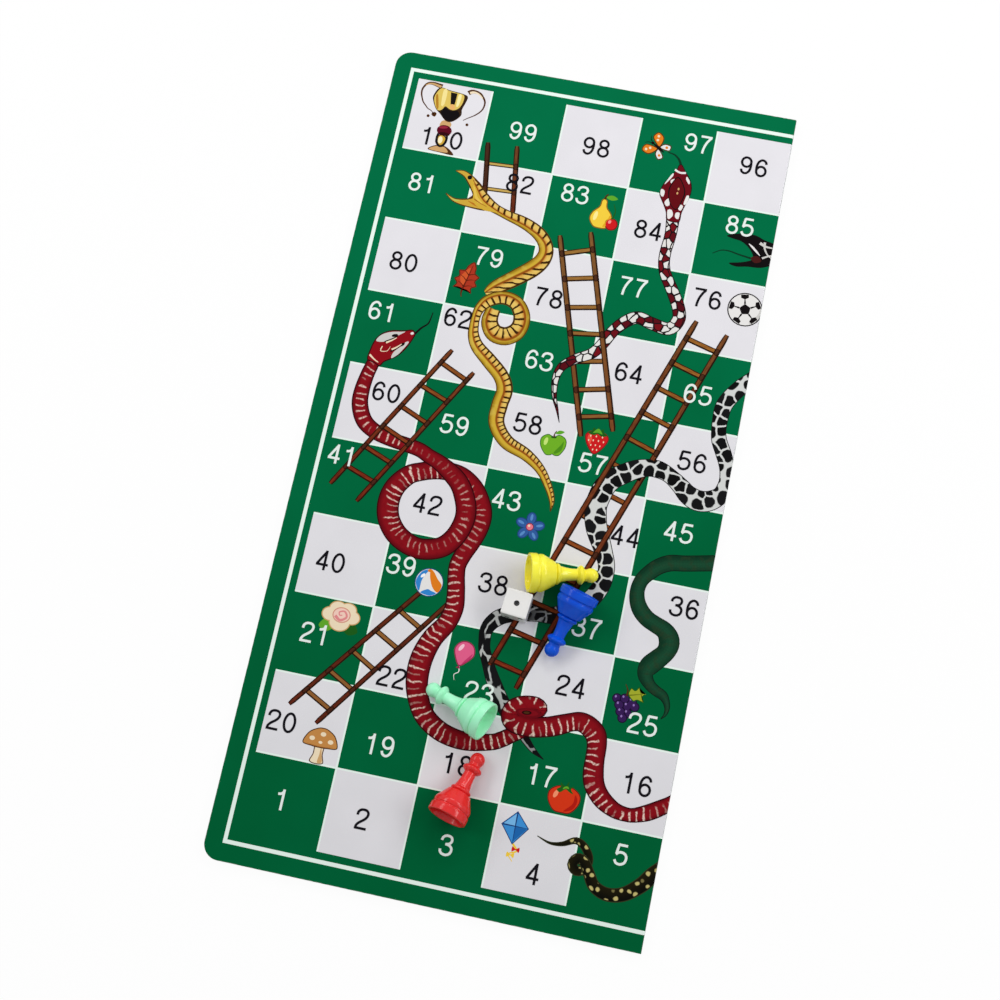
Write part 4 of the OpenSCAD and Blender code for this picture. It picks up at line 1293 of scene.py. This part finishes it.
# Small pictures, about their middle and with a half size of 1
PICTURES = {
    "butterfly": [
        *[shape for ink, wing in ((ORANGE, UPPER_WING), (WHITE, LOWER_WING)) for side in SIDES
          for shape in rimmed(0, BROWN, ink, curve(*[(side * x, y) for x, y in wing]), 0.07)],
        *spread(2, CREAM, 0.09, 0.09, (-0.66, 0.55), (0.66, 0.55), (-0.4, 0.4), (0.4, 0.4)),
        *spread(2, ORANGE, 0.1, 0.1, (-0.4, -0.45), (0.4, -0.45)),
        (3, BLACK, oval(0, -0.05, 0.09, 0.5)),
        (3, BLACK, oval(0, 0.5, 0.11, 0.11)),
        *[(2, BLACK, line(0.04, (0, 0.5), (side * 0.15, 0.8), (side * 0.35, 0.95))) for side in SIDES],
    ],
    "pear": [
        *rimmed(0, rgb(150, 96, 20), YELLOW, curve(
            (-0.15, 0.72), (-0.3, 0.6), (-0.36, 0.25), (-0.66, -0.1), (-0.75, -0.5), (-0.5, -0.88),
            (-0.15, -0.95), (0.2, -0.88), (0.42, -0.5), (0.34, -0.1), (0.06, 0.25), (0.0, 0.6))),
        (2, rgb(224, 168, 40), curve((0.1, -0.82), (0.36, -0.5), (0.28, -0.15), (0.18, -0.4), (0.0, -0.78))),
        (2, rgb(252, 236, 150), oval(-0.46, -0.3, 0.1, 0.26, -10)),
        (2, BROWN, line(0.06, (-0.15, 0.68), (-0.12, 0.85), (-0.02, 1.0))),
        (2, LEAF, curve((-0.1, 0.8), (0.2, 0.95), (0.5, 0.8), (0.2, 0.68))),
        *rimmed(2, MAROON, RED, oval(0.42, -0.62, 0.34, 0.34)),
        (4, rgb(246, 150, 140), oval(0.32, -0.5, 0.08, 0.1, -20)),
        (3, DARK_LEAF, line(0.045, (0.42, -0.35), (0.5, 0.1), (0.36, 0.5))),
    ],
    "football": [
        *rimmed(0, BLACK, WHITE, oval(0, 0, 0.9, 0.9), 0.06),
        (2, GREY, curve((0.3, -0.75), (0.7, -0.4), (0.8, 0.1), (0.62, -0.3), (0.2, -0.66))),
        (3, BLACK, poly(*[spoke(k, 0.3) for k in range(5)])),
        *[(3, BLACK, line(0.05, spoke(k, 0.3), spoke(k, 0.6))) for k in range(5)],
        *[(4, BLACK, poly(*[spoke(k, reach, aside) for aside, reach in BALL_PATCH])) for k in range(5)],
    ],
    "autumn_leaf": [
        (0, RUST, line(0.06, (0.0, -0.5), (0.02, -0.8), (0.12, -1.0))),
        *rimmed(0, RUST, rgb(172, 54, 34), both_sides(
            (0, -0.62), (-0.22, -0.6), (-0.5, -0.66), (-0.42, -0.4), (-0.62, -0.2), (-0.46, 0.02),
            (-0.56, 0.3), (-0.3, 0.42), (-0.22, 0.72), (0, 0.98))),
        (2, rgb(206, 88, 44), curve((-0.06, -0.4), (-0.34, -0.1), (-0.3, 0.2), (-0.06, 0.6))),
        (3, RUST, line(0.035, (0, -0.6), (0.01, 0.1), (0, 0.8))),
        *[(3, RUST, line(0.028, (0, y), (side * 0.2, y + 0.12), (side * 0.4, y + 0.18)))
          for y in (-0.45, -0.1, 0.22) for side in SIDES],
    ],
    "strawberry": [
        *rimmed(0, MAROON, RED, both_sides(
            (0, 0.55), (-0.45, 0.62), (-0.78, 0.3), (-0.66, -0.2), (-0.3, -0.72), (0, -0.92))),
        (2, rgb(238, 84, 66), curve((-0.5, 0.4), (-0.6, 0.1), (-0.4, -0.3), (-0.3, 0.1))),
        *spread(3, CREAM, 0.04, 0.065, (-0.42, 0.28), (-0.05, 0.3), (0.36, 0.3), (-0.5, -0.04), (-0.2, 0.0),
                (0.14, 0.02), (0.48, 0.0), (-0.3, -0.34), (0.0, -0.3), (0.3, -0.32), (-0.12, -0.62),
                (0.14, -0.6)),
        (3, DARK_LEAF, curve(
            (0, 0.48), (-0.25, 0.36), (-0.62, 0.44), (-0.42, 0.62), (-0.3, 0.86), (-0.08, 0.7), (0, 0.98),
            (0.1, 0.7), (0.32, 0.86), (0.42, 0.62), (0.62, 0.44), (0.25, 0.36))),
        (4, LEAF, both_sides((0, 0.56), (-0.3, 0.5), (-0.2, 0.68), (0, 0.84))),
    ],
    "apple": [
        *rimmed(0, DARK_LEAF, rgb(112, 176, 40), both_sides(
            (0, 0.5), (-0.4, 0.64), (-0.84, 0.36), (-0.86, -0.2), (-0.5, -0.78), (-0.16, -0.84), (0, -0.76))),
        (2, rgb(78, 142, 30), curve((0.2, -0.7), (0.6, -0.4), (0.7, 0.2), (0.5, -0.1), (0.1, -0.6))),
        (2, rgb(196, 226, 120), oval(-0.5, 0.12, 0.13, 0.28, -15)),
        (3, DARK_LEAF, oval(0, 0.44, 0.2, 0.07)),
        (4, BROWN, line(0.06, (0, 0.42), (0.05, 0.7), (0.16, 0.9))),
        (4, LEAF, curve((0.08, 0.72), (0.36, 0.94), (0.7, 0.86), (0.4, 0.68))),
    ],
    "flower": [
        *[shape for a in PETALS for shape in rimmed(0, NAVY, rgb(50, 92, 158), petal(a, 0.5, 0.4, 0.3))],
        *[(2, rgb(90, 140, 200), petal(a, 0.58, 0.2, 0.08)) for a in PETALS],
        *rimmed(3, rgb(120, 40, 60), PINK, oval(0, 0, 0.24, 0.24)),
        (5, CREAM, oval(-0.05, 0.06, 0.07, 0.07)),
    ],
    "ball": [
        *rimmed(0, NAVY, WHITE, oval(0, 0, 0.85, 0.85)),
        (2, SKY, curve((0.05, 0.76), (-0.4, 0.66), (-0.78, 0.1), (-0.6, -0.48), (-0.44, 0.1), (-0.2, 0.5))),
        (2, ORANGE, curve(
            (0.1, 0.76), (0.06, 0.3), (0.2, -0.3), (0.5, -0.6), (0.74, -0.2), (0.5, 0.2), (0.3, 0.6))),
        (2, SKY, curve((-0.5, -0.58), (-0.1, -0.4), (0.12, -0.5), (0.4, -0.66), (0.0, -0.78))),
        (3, rgb(250, 250, 250), oval(-0.36, 0.42, 0.16, 0.08, 40)),
        (3, ORANGE, oval(0.06, 0.7, 0.14, 0.09)),
    ],
    "rose": [
        *[(0, ink, curve(*[(side * x, y) for x, y in ((0.9, -0.5), (0.6, -0.1), (0.2, -0.4), (0.5, -0.7))]))
          for side, ink in ((-1, LEAF), (1, DARK_LEAF))],
        *[shape for x, y, size in ROSE_LEAVES
          for shape in rimmed(1, TAN, CREAM, oval(x, y, size, size * 0.85))],
        *rimmed(3, rgb(214, 150, 130), rgb(244, 206, 190), oval(0.02, 0.14, 0.42, 0.36)),
        (5, rgb(226, 140, 140), line(
            0.07, (-0.26, 0.06), (0.0, -0.1), (0.26, 0.08), (0.14, 0.32), (-0.1, 0.26), (-0.06, 0.12),
            (0.06, 0.14))),
    ],
    "balloon": [
        (0, WHITE, line(0.03, (0.02, -0.3), (0.1, -0.55), (-0.06, -0.75), (0.04, -1.0))),
        *rimmed(0, BALLOON_RIM, rgb(228, 96, 140), both_sides((0, -0.28), (-0.3, 0.0), (-0.52, 0.44),
                                                              (-0.36, 0.84), (0, 0.98))),
        (2, rgb(196, 60, 108), curve((0.1, -0.14), (0.36, 0.16), (0.42, 0.5), (0.24, 0.2))),
        (2, rgb(250, 196, 212), oval(-0.22, 0.6, 0.09, 0.2, -20)),
        (2, BALLOON_RIM, poly((0, -0.26), (-0.11, -0.4), (0.11, -0.4))),
    ],
    "grapes": [
        *[shape for k, (x, y) in enumerate(GRAPES)
          for shape in rimmed(k % 2 * 2, GRAPE_RIM, PLUM, oval(x, y, 0.25, 0.25))],
        *spread(4, rgb(150, 120, 186), 0.05, 0.06, *[(x - (0.08 if k < 5 else 0.06), y + 0.08)
                                                     for k, (x, y) in enumerate(GRAPES)]),
        (4, BROWN, line(0.05, (-0.05, 0.4), (-0.05, 0.7), (-0.2, 0.98))),
        *rimmed(4, DARK_LEAF, rgb(164, 172, 48), curve(
            (0.0, 0.5), (0.1, 0.85), (0.32, 0.78), (0.5, 0.98), (0.64, 0.74), (0.9, 0.7), (0.74, 0.5),
            (0.84, 0.24), (0.5, 0.28), (0.3, 0.2))),
        (6, rgb(104, 112, 24), line(0.03, (0.06, 0.46), (0.4, 0.56), (0.74, 0.66))),
    ],
    "mushroom": [
        *rimmed(0, BROWN, CREAM, both_sides((-0.22, 0.1), (-0.26, -0.4), (-0.36, -0.8), (0, -0.9))),
        (2, TAN, curve((0.1, 0.0), (0.2, -0.4), (0.28, -0.76), (0.05, -0.8), (0.08, -0.4))),
        *rimmed(2, BROWN, rgb(198, 138, 74), both_sides((0, -0.08), (-0.4, -0.06), (-0.9, 0.05), (-0.7, 0.6),
                                                        (-0.3, 0.88), (0, 0.94))),
        *spread(4, CREAM, 0.14, 0.11, (-0.46, 0.34), (0.06, 0.62), (0.5, 0.3)),
        (4, CREAM, oval(0.0, 0.2, 0.1, 0.07)),
        (4, rgb(160, 100, 48), curve((-0.7, 0.06), (0, 0.0), (0.7, 0.06), (0, -0.04))),
    ],
    "tomato": [
        *rimmed(0, MAROON, rgb(214, 56, 26), both_sides((0, 0.58), (-0.4, 0.68), (-0.88, 0.34), (-0.9, -0.2),
                                                        (-0.5, -0.74), (0, -0.82))),
        (2, rgb(178, 30, 20), curve((0.1, -0.7), (0.6, -0.5), (0.78, 0.0), (0.6, 0.3), (0.54, -0.2))),
        (2, rgb(246, 150, 110), oval(-0.5, 0.18, 0.12, 0.24, -20)),
        (3, DARK_LEAF, curve(
            (0, 0.52), (-0.3, 0.3), (-0.5, 0.44), (-0.3, 0.62), (-0.34, 0.86), (-0.05, 0.7), (0.12, 0.98),
            (0.16, 0.7), (0.46, 0.76), (0.3, 0.58), (0.46, 0.34), (0.2, 0.42))),
        (4, LEAF, curve((0.02, 0.58), (-0.16, 0.5), (-0.1, 0.64), (0.08, 0.7), (0.18, 0.58))),
    ],
    "kite": [
        (0, YELLOW, line(0.045, (0.05, -0.3), (0.25, -0.55), (-0.05, -0.72), (0.15, -0.98))),
        *[(1, ink, curve((x - 0.14, y + 0.1), (x, y + 0.02), (x + 0.14, y + 0.1), (x + 0.14, y - 0.1),
                         (x, y - 0.02), (x - 0.14, y - 0.1)))
          for x, y, ink in ((0.2, -0.5, RED), (0.03, -0.74, YELLOW))],
        *rimmed(2, NAVY, rgb(64, 146, 216), poly((0, 0.98), (-0.56, 0.38), (0.02, -0.34), (0.56, 0.38))),
        (4, rgb(120, 186, 236), poly((0, 0.9), (-0.48, 0.39), (0, 0.39))),
        (4, rgb(34, 104, 176), poly((0.02, -0.24), (0.48, 0.36), (0.02, 0.36))),
        (5, NAVY, line(0.03, (0, 0.95), (0.01, 0.3), (0.02, -0.3))),
        (5, NAVY, line(0.03, (-0.5, 0.38), (0, 0.38), (0.52, 0.38))),
    ],
}
# Pictures on each half: kind, place in squares, half size and turn
PLACED = {
    "left": [
        ("butterfly", (3.28, 9.63), 0.185, 58), ("pear", (2.78, 8.62), 0.25, 0),
        ("football", (4.77, 7.66), 0.25, 10), ("autumn_leaf", (1.22, 7.38), 0.25, -12),
        ("strawberry", (3.26, 5.6), 0.19, 0), ("apple", (2.74, 5.46), 0.185, 6),
        ("flower", (2.67, 4.36), 0.21, 0), ("ball", (1.6, 3.43), 0.21, 12), ("rose", (0.63, 2.78), 0.27, 0),
        ("balloon", (2.19, 2.57), 0.25, -10), ("grapes", (4.25, 2.46), 0.24, 0),
        ("mushroom", (0.74, 1.21), 0.24, 0), ("tomato", (3.74, 1.21), 0.21, 0),
        ("kite", (3.24, 0.66), 0.3, 0)],
    "right": [
        ("ball", (5.76, 9.62), 0.21, 0), ("apple", (8.26, 8.6), 0.2, 0), ("kite", (7.28, 9.36), 0.29, 8),
        ("strawberry", (5.3, 5.74), 0.2, 0), ("balloon", (8.3, 3.56), 0.25, 6),
        ("tomato", (6.24, 6.26), 0.2, 0), ("flower", (5.78, 3.36), 0.21, 0),
        ("mushroom", (7.24, 5.74), 0.24, 0), ("butterfly", (9.76, 4.4), 0.19, -30),
        ("grapes", (7.72, 0.56), 0.23, 0), ("pear", (8.66, 0.62), 0.25, 0),
        ("autumn_leaf", (6.74, 2.62), 0.25, 14), ("rose", (9.28, 8.28), 0.25, 0)],
}
# Heads on the unseen half: body ink, place and direction of the snout
RIGHT_HEADS = [
    (rgb(22, 22, 24), (6.7, 7.82), 94),
    (rgb(44, 86, 60), (6.345, 4.98), 88),
    (rgb(24, 22, 12), (7.03, 1.26), 70),
    (GOLD, (9.54, 7.02), 70),
    (MAROON, (7.94, 2.98), 72),
]


def plain_head(ink):
    """A snake's head from above, its snout along the first axis."""
    side = [(-0.15, 0.085), (-0.04, 0.125), (0.08, 0.11), (0.17, 0.06)]
    outline = curve(*side, (0.21, 0.0), *[(x, -y) for x, y in reversed(side)])
    shapes = [(0, SHADE, line(0.012, (0.19, 0), (0.26, 0.01), (0.33, 0.05))),
              (0, SHADE, line(0.010, (0.24, 0.0), (0.29, -0.01), (0.34, -0.04)))]
    shapes += rimmed(1, BLACK, ink, outline, 0.012)
    for y in SIDES:
        shapes += [(3, WHITE, oval(0.055, 0.07 * y, 0.028, 0.022)),
                   (4, BLACK, oval(0.06, 0.07 * y, 0.014, 0.014)),
                   (3, CREAM, line(0.01, (-0.12, 0.04 * y), (-0.02, 0.055 * y), (0.02, 0.05 * y)))]
    return shapes


def pictures(side, ink):
    drawing = Print(side)
    for name, place, size, turn in PLACED[side]:
        drawing.picture(PICTURES[name], MOTIF_H, place, size, turn)
    if side == "left":
        drawing.picture(CUP, MOTIF_H)
    drawing.build(side + "_printed_pictures", [ink])
    drawing = Print(side)
    if side == "left":
        for shapes in HEADS.values():
            drawing.picture(shapes, HEAD_H)
    else:
        for body, place, turn in RIGHT_HEADS:
            drawing.picture(plain_head(body), HEAD_H, place, 1.0, turn)
    drawing.build(side + "_printed_heads", [ink])


# Pawns: radii and heights from the foot up

BASE_R, FLANGE_H = 7.3, 2.9
GROOVE_R, GROOVE_H = 6.7, 0.6
RING_R, RING_H = 6.9, 1.8
SHOULDER_R, SHOULDER_H = 4.4, 4.5
COLLAR_R, COLLAR_H = 3.9, 2.0
STEM_FOOT_R, STEM_H = 3.0, 6.2
NECK_R, NECK_H = 2.2, 0.9
DISC_R, DISC_H = 3.6, 2.9
HEAD_R = 2.7
WALL, HOLLOW_R, HOLLOW_H = 1.0, 3.08, 9.0
RING_Z = FLANGE_H + GROOVE_H
SHOULDER_Z = RING_Z + RING_H
COLLAR_Z = SHOULDER_Z + SHOULDER_H
STEM_Z = COLLAR_Z + COLLAR_H
DISC_Z = STEM_Z + STEM_H
NECK_Z = DISC_Z + DISC_H
HEAD_Z = NECK_Z + NECK_H + math.sqrt(HEAD_R ** 2 - NECK_R ** 2)
TILT = math.degrees(math.atan((BASE_R - DISC_R) / (DISC_Z + DISC_H / 2 - FLANGE_H)))
PAWN_ANGLES = {"yellow": 11, "blue": -106, "green": 160, "red": 74}
LATHE_STEPS = 72
SEAM = 0.03
HEAD_STEPS = 16
# How far from a corner its curve starts
HOLLOW_SOFT, WALL_SOFT, RIM_IN_SOFT, RIM_OUT_SOFT = 0.9, 1.2, 0.3, 0.4
FLANGE_SOFT, GROOVE_SOFT, GROOVE_TOP_SOFT = 0.55, 0.25, 0.1
RING_SOFT, SHOULDER_SOFT, COLLAR_SOFT, NECK_SOFT = 0.3, 0.3, 0.15, 0.25
COLLAR_OUT, COLLAR_UP = 0.4, 0.05
RING_SWELL, SHOULDER_SWELL, STEM_SWELL = 0.02 * RING_R, -0.005 * RING_R, -0.08 * STEM_FOOT_R


def bulge(r0, r1, z0, z1, swell, soft=0.0, steps=14):
    """A stretch of a path of radius and height that swells or, below zero, draws in between its ends."""
    found = []
    for i in range(steps + 1):
        t = i / steps
        ends = soft if i in (0, steps) else 0.0
        found.append((r0 + (r1 - r0) * t + swell * math.sin(math.pi * t), z0 + (z1 - z0) * t, ends))
    return found


def softened(points, steps=4, most=0.45):
    """A path whose corners are turned into curves that start so far from them."""
    found = []
    for i, (x, y, soft) in enumerate(points):
        here = Vector((x, y))
        if not soft:
            found.append(here)
            continue
        before, after = Vector(points[i - 1][:2]) - here, Vector(points[i + 1][:2]) - here
        start = here + before * min(soft / before.length, most)
        end = here + after * min(soft / after.length, most)
        for k in range(steps + 1):
            t = k / steps
            found.append(start * (1 - t) ** 2 + here * 2 * t * (1 - t) + end * t * t)
    return found


def pawn_profile():
    """Radius, height and softened corner from the top of the hollow, round the rim and up to the head."""
    low = -math.acos(NECK_R / HEAD_R)
    head = []
    for i in range(1, HEAD_STEPS):
        a = low + (math.pi / 2 - low) * i / HEAD_STEPS
        head.append((HEAD_R * math.cos(a), HEAD_Z + HEAD_R * math.sin(a), 0.0))
    return softened([
        (0.0, HOLLOW_H, 0.0), (HOLLOW_R, HOLLOW_H, HOLLOW_SOFT), (GROOVE_R - WALL, RING_Z, WALL_SOFT),
        (BASE_R - WALL, 0.0, RIM_IN_SOFT), (BASE_R, 0.0, RIM_OUT_SOFT), (BASE_R, FLANGE_H, FLANGE_SOFT),
        (GROOVE_R, FLANGE_H, GROOVE_SOFT), (GROOVE_R, RING_Z, GROOVE_TOP_SOFT),
        *bulge(RING_R, RING_R, RING_Z, SHOULDER_Z, RING_SWELL, RING_SOFT),
        *bulge(RING_R, SHOULDER_R, SHOULDER_Z, COLLAR_Z, SHOULDER_SWELL, SHOULDER_SOFT)[1:],
        (STEM_FOOT_R + COLLAR_OUT, COLLAR_Z + COLLAR_UP, COLLAR_SOFT),
        *bulge(STEM_FOOT_R, STEM_FOOT_R, COLLAR_Z, STEM_Z, COLLAR_R - STEM_FOOT_R)[1:],
        *bulge(STEM_FOOT_R, NECK_R, STEM_Z, DISC_Z, STEM_SWELL)[1:],
        *bulge(NECK_R, NECK_R, DISC_Z, NECK_Z, DISC_R - NECK_R)[1:],
        (NECK_R, NECK_Z + NECK_H, NECK_SOFT), *head, (0.0, HEAD_Z + HEAD_R, 0.0),
    ])


def lathe(mesh, profile, steps, turn=Matrix(), seam=0.0):
    """Turns a path of radius and height about the upright axis, with a fine mould seam on two sides."""
    rings = []
    for r, z in profile:
        ring = []
        for i in range(steps if r > TINY else 1):
            a = 2 * math.pi * i / steps
            reach = r + (seam if seam and 2 * i % steps == 0 and r > TINY else 0.0)
            ring.append(mesh.verts.new(turn @ Vector((reach * math.cos(a), reach * math.sin(a), z))))
        rings.append(ring)
    for lower, upper in zip(rings, rings[1:]):
        for i in range(steps):
            corners = [lower[i % len(lower)], lower[(i + 1) % steps % len(lower)],
                       upper[(i + 1) % steps % len(upper)], upper[i % len(upper)]]
            mesh.faces.new(list(dict.fromkeys(corners)))


def moulded(mesh, name, body, node, material, sharp=40):
    bmesh.ops.recalc_face_normals(mesh, faces=mesh.faces[:])
    for face in mesh.faces:
        face.smooth = True
    piece = new_object(mesh, name, material)
    piece.data.set_sharp_from_angle(angle=math.radians(sharp))
    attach(piece, body)
    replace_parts(piece, node)


def turn_of(*degrees):
    """A turn about the first, then the second, then the third axis."""
    x, y, z = (math.radians(angle) for angle in degrees)
    return Matrix.Rotation(z, 4, "Z") @ Matrix.Rotation(y, 4, "Y") @ Matrix.Rotation(x, 4, "X")


def to_box(mesh, node):
    """Brings a mesh in millimetres to the middle of a node's box."""
    low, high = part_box(node)
    for axis in range(3):
        values = [point.co[axis] for point in mesh.verts]
        shift = (low[axis] + high[axis]) / 2 - (min(values) + max(values)) / 2 * MM
        for point in mesh.verts:
            point.co[axis] = point.co[axis] * MM + shift


def pawn(colour, material):
    mesh = bmesh.new()
    lathe(mesh, pawn_profile(), LATHE_STEPS, turn_of(0, 90 + TILT, PAWN_ANGLES[colour]), SEAM)
    node = colour + "_pawn"
    to_box(mesh, node)
    moulded(mesh, node + "_moulding", node, node, material)


# Die

DIE_SIDE, DIE_ROUND_R, DIE_EDGE = 9.6, 7.9, 0.35
DIE_ANGLE = -5
PIP_R, PIP_PITCH, PIT_DEPTH = 1.1, 2.6, 0.4
PIT_BALL = (PIP_R ** 2 + PIT_DEPTH ** 2) / 2 / PIT_DEPTH
PIT_BALL_Z = DIE_SIDE / 2 - PIT_DEPTH + PIT_BALL
PAINT_FROM, PAINT_TO, PAINT_SHARE = 0.012, 0.06, 0.93
FACE_TURNS = [(0, 0, 0), (90, 0, 0), (0, 90, 0), (0, -90, 0), (-90, 0, 0), (180, 0, 0)]
DIE_GRID = 24
BALL_AROUND, BALL_UP = 40, 24
PAINT_STEPS, PAINT_AROUND = 8, 32
DIE_SHARP = 30


def pip_places(count):
    places = [(0, 0)] if count % 2 else []
    for least, corner in ((1, (1, 1)), (3, (-1, 1)), (5, (1, 0))):
        if count > least:
            places += [corner, (-corner[0], -corner[1])]
    return places


def pit_balls():
    """Where the balls that hollow the pits stand, with the turn of their face."""
    for face, turns in enumerate(FACE_TURNS):
        turn = turn_of(*turns)
        for x, y in pip_places(face + 1):
            yield turn @ Matrix.Translation((x * PIP_PITCH, y * PIP_PITCH, PIT_BALL_Z))


def die(plastic_look, paint_look):
    """A cube with rounded edges and corners, pits cut by balls, and the paint in the pits."""
    cube = bmesh.new()
    bmesh.ops.create_cube(cube, size=DIE_SIDE)
    bmesh.ops.subdivide_edges(cube, edges=cube.edges[:], cuts=DIE_GRID, use_grid_fill=True)
    flat = DIE_SIDE / 2 - DIE_EDGE
    for point in cube.verts:
        kept = Vector([max(-flat, min(flat, value)) for value in point.co])
        out = point.co - kept
        if out.length > 0:
            point.co = kept + out.normalized() * DIE_EDGE
        if point.co.length > DIE_ROUND_R:
            point.co *= DIE_ROUND_R / point.co.length
    cutter = bmesh.new()
    for place in pit_balls():
        bmesh.ops.create_uvsphere(cutter, u_segments=BALL_AROUND, v_segments=BALL_UP,
                                  radius=PIT_BALL, matrix=place)
    body, balls = new_object(cube, "die_blank"), new_object(cutter, "die_cutter")
    hollow = body.modifiers.new("pits", "BOOLEAN")
    hollow.object = balls
    hollow.solver = "EXACT"
    cut_data = body.evaluated_get(bpy.context.evaluated_depsgraph_get()).to_mesh()
    cube = bmesh.new()
    cube.from_mesh(cut_data)
    for piece in (body, balls):
        bpy.data.objects.remove(piece)
    paint = bmesh.new()
    widest = math.asin(PIP_R * PAINT_SHARE / PIT_BALL)
    profile = []
    steps = range(PAINT_STEPS + 1)
    for drop, order in ((PAINT_FROM, steps), (PAINT_TO, reversed(steps))):
        reach = PIT_BALL - drop
        for k in order:
            a = widest * k / PAINT_STEPS
            profile.append((reach * math.sin(a), -reach * math.cos(a)))
    for place in pit_balls():
        lathe(paint, profile, PAINT_AROUND, place)
    low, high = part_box("die_body")
    whole = Matrix.Translation((low + high) / 2) @ turn_of(0, 0, DIE_ANGLE) @ Matrix.Scale(MM, 4)
    for mesh in (cube, paint):
        bmesh.ops.transform(mesh, matrix=whole, verts=mesh.verts[:])
    moulded(cube, "die_moulding", "die", "die_body", plastic_look, DIE_SHARP)
    moulded(paint, "die_pip_paint", "die", "die_pips", paint_look)


# Stage, light and camera

WHITE_LIGHT = (1.0, 1.0, 1.0, 1.0)
FLOOR_COLOUR = (0.92, 0.92, 0.92, 1.0)
FLOOR_REACH, FLOOR_Z, FLOOR_GLOW = 3.0, -0.0003, 0.95
SKY_LIGHT = 0.4
# Lamps: place, length, width and power
LAMPS = {
    "key": ((0.60, 0.26, 0.54), 0.80, 0.20, 2.9),
    "fill": ((-0.54, 0.22, 0.54), 0.80, 0.20, 2.2),
    "back": ((0.02, 0.66, 0.58), 0.40, 0.20, 1.4),
}
LAMP_TARGET = Vector((0.0, 0.04, 0.0))


def stage():
    floor_mesh = bpy.data.meshes.new("floor")
    corners = [(x * FLOOR_REACH, y * FLOOR_REACH, FLOOR_Z) for x, y in ((-1, -1), (1, -1), (1, 1), (-1, 1))]
    floor_mesh.from_pydata(corners, [], [(0, 1, 2, 3)])
    floor = bpy.data.objects.new("floor", floor_mesh)
    bpy.context.scene.collection.objects.link(floor)
    look = material_look("floor_white")
    look.set(Base_Color=FLOOR_COLOUR, Roughness=0.9)
    lit = Value(look, look.shader.outputs[0])
    white = look.add("Emission", {"Color": WHITE_LIGHT, "Strength": 1.0})
    look.show("Material Output", look.add("MixShader", {0: FLOOR_GLOW, 1: lit, 2: white}), lit)
    floor_mesh.materials.append(look.owner)


def light():
    """Long soft lamps and an even sky that looks white."""
    for name, (place, length, width, power) in LAMPS.items():
        lamp = bpy.data.lights.new(name, "AREA")
        lamp.shape = "RECTANGLE"
        lamp.size = length
        lamp.size_y = width
        lamp.energy = power
        holder = bpy.data.objects.new(name, lamp)
        holder.location = place
        holder.rotation_euler = (LAMP_TARGET - Vector(place)).to_track_quat("-Z", "Y").to_euler()
        bpy.context.scene.collection.objects.link(holder)
    world = bpy.data.worlds.new("studio")
    bpy.context.scene.world = world
    look = Look(world, "Background")
    look.set(Color=WHITE_LIGHT, Strength=SKY_LIGHT)
    white = look.add("Background", {"Color": WHITE_LIGHT, "Strength": 1.0})
    look.show("World Output", white, Value(look, look.shader.outputs[0]))


# Camera, in millimetres
CAMERA_PLACE = Vector((47.42, -137.54, 588.13))
IMAGE_RIGHT = Vector((0.97745, 0.20771, -0.03810))
IMAGE_DOWN = Vector((0.19436, -0.95541, -0.22229))
IMAGE_INTO = Vector((-0.08257, 0.20987, -0.97424))
LENS, SENSOR = 58.12, 36.0


def camera():
    """The photograph's view, fitted to the corners and lines of the board."""
    data = bpy.data.cameras.new("camera")
    data.lens = LENS
    data.sensor_width = SENSOR
    data.sensor_fit = "HORIZONTAL"
    data.clip_start = 0.01
    data.clip_end = 20.0
    holder = bpy.data.objects.new("camera", data)
    turn = Matrix((IMAGE_RIGHT, -IMAGE_DOWN, -IMAGE_INTO)).transposed()
    holder.matrix_world = Matrix.Translation(CAMERA_PLACE * MM) @ turn.to_4x4()
    bpy.context.scene.collection.objects.link(holder)
    bpy.context.scene.camera = holder


# Everything is made here

bpy.context.scene.view_settings.view_transform = "Standard"
camera()
light()
stage()

ink = printed_ink()
# Top and foot tones of the squares; the darker foot tone is painted shade
sheets = [board_colour("board_green", rgb(0, 110, 68), rgb(0, 94, 52)),
          board_colour("board_white", rgb(229, 227, 232), rgb(226, 225, 229))]
rail_wood = ladder_wood("rail_wood", (rgb(132, 82, 44), rgb(94, 54, 29)),
                        (rgb(130, 48, 26), rgb(90, 32, 19)), 1)
rung_wood = ladder_wood("rung_wood", (rgb(168, 112, 48), rgb(128, 78, 34)),
                        (rgb(140, 54, 28), rgb(102, 34, 20)), -1)
snake_looks = {
    "gold": gold_snake(), "patched": patched_snake(), "netted": netted_snake(), "red": red_snake(),
    "green": green_snake(), "spotted": spotted_snake(),
}
for side in ("left", "right"):
    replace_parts(bare_sheet(side, sheets), side + "_face_sheet")
    lines(side, ink)
    pictures(side, ink)
    snakes(side, snake_looks)
    ladders(side, rail_wood, rung_wood)
    numbers(side, ink)

pawn("yellow", plastic("yellow_plastic", rgb(255, 249, 70), rgb(255, 241, 52)))
pawn("blue", plastic("blue_plastic", rgb(5, 86, 220), rgb(3, 72, 208), gloss=0.15))
pawn("green", plastic("green_plastic", rgb(174, 255, 211), rgb(165, 255, 204)))
pawn("red", plastic("red_plastic", rgb(234, 42, 42), rgb(224, 34, 35)))
die(plastic("die_plastic", rgb(238, 237, 235), rgb(234, 233, 231)),
    plastic("pip_paint", rgb(12, 12, 14), rgb(20, 20, 22)))

node_looks = {"core": grey_board(), "back_lining": lining_paper(), "hinge_leaf": hinge_tape()}
for side in ("left", "right"):
    for node, look in node_looks.items():
        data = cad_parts[side + "_" + node].data
        data.materials.clear()
        data.materials.append(look)
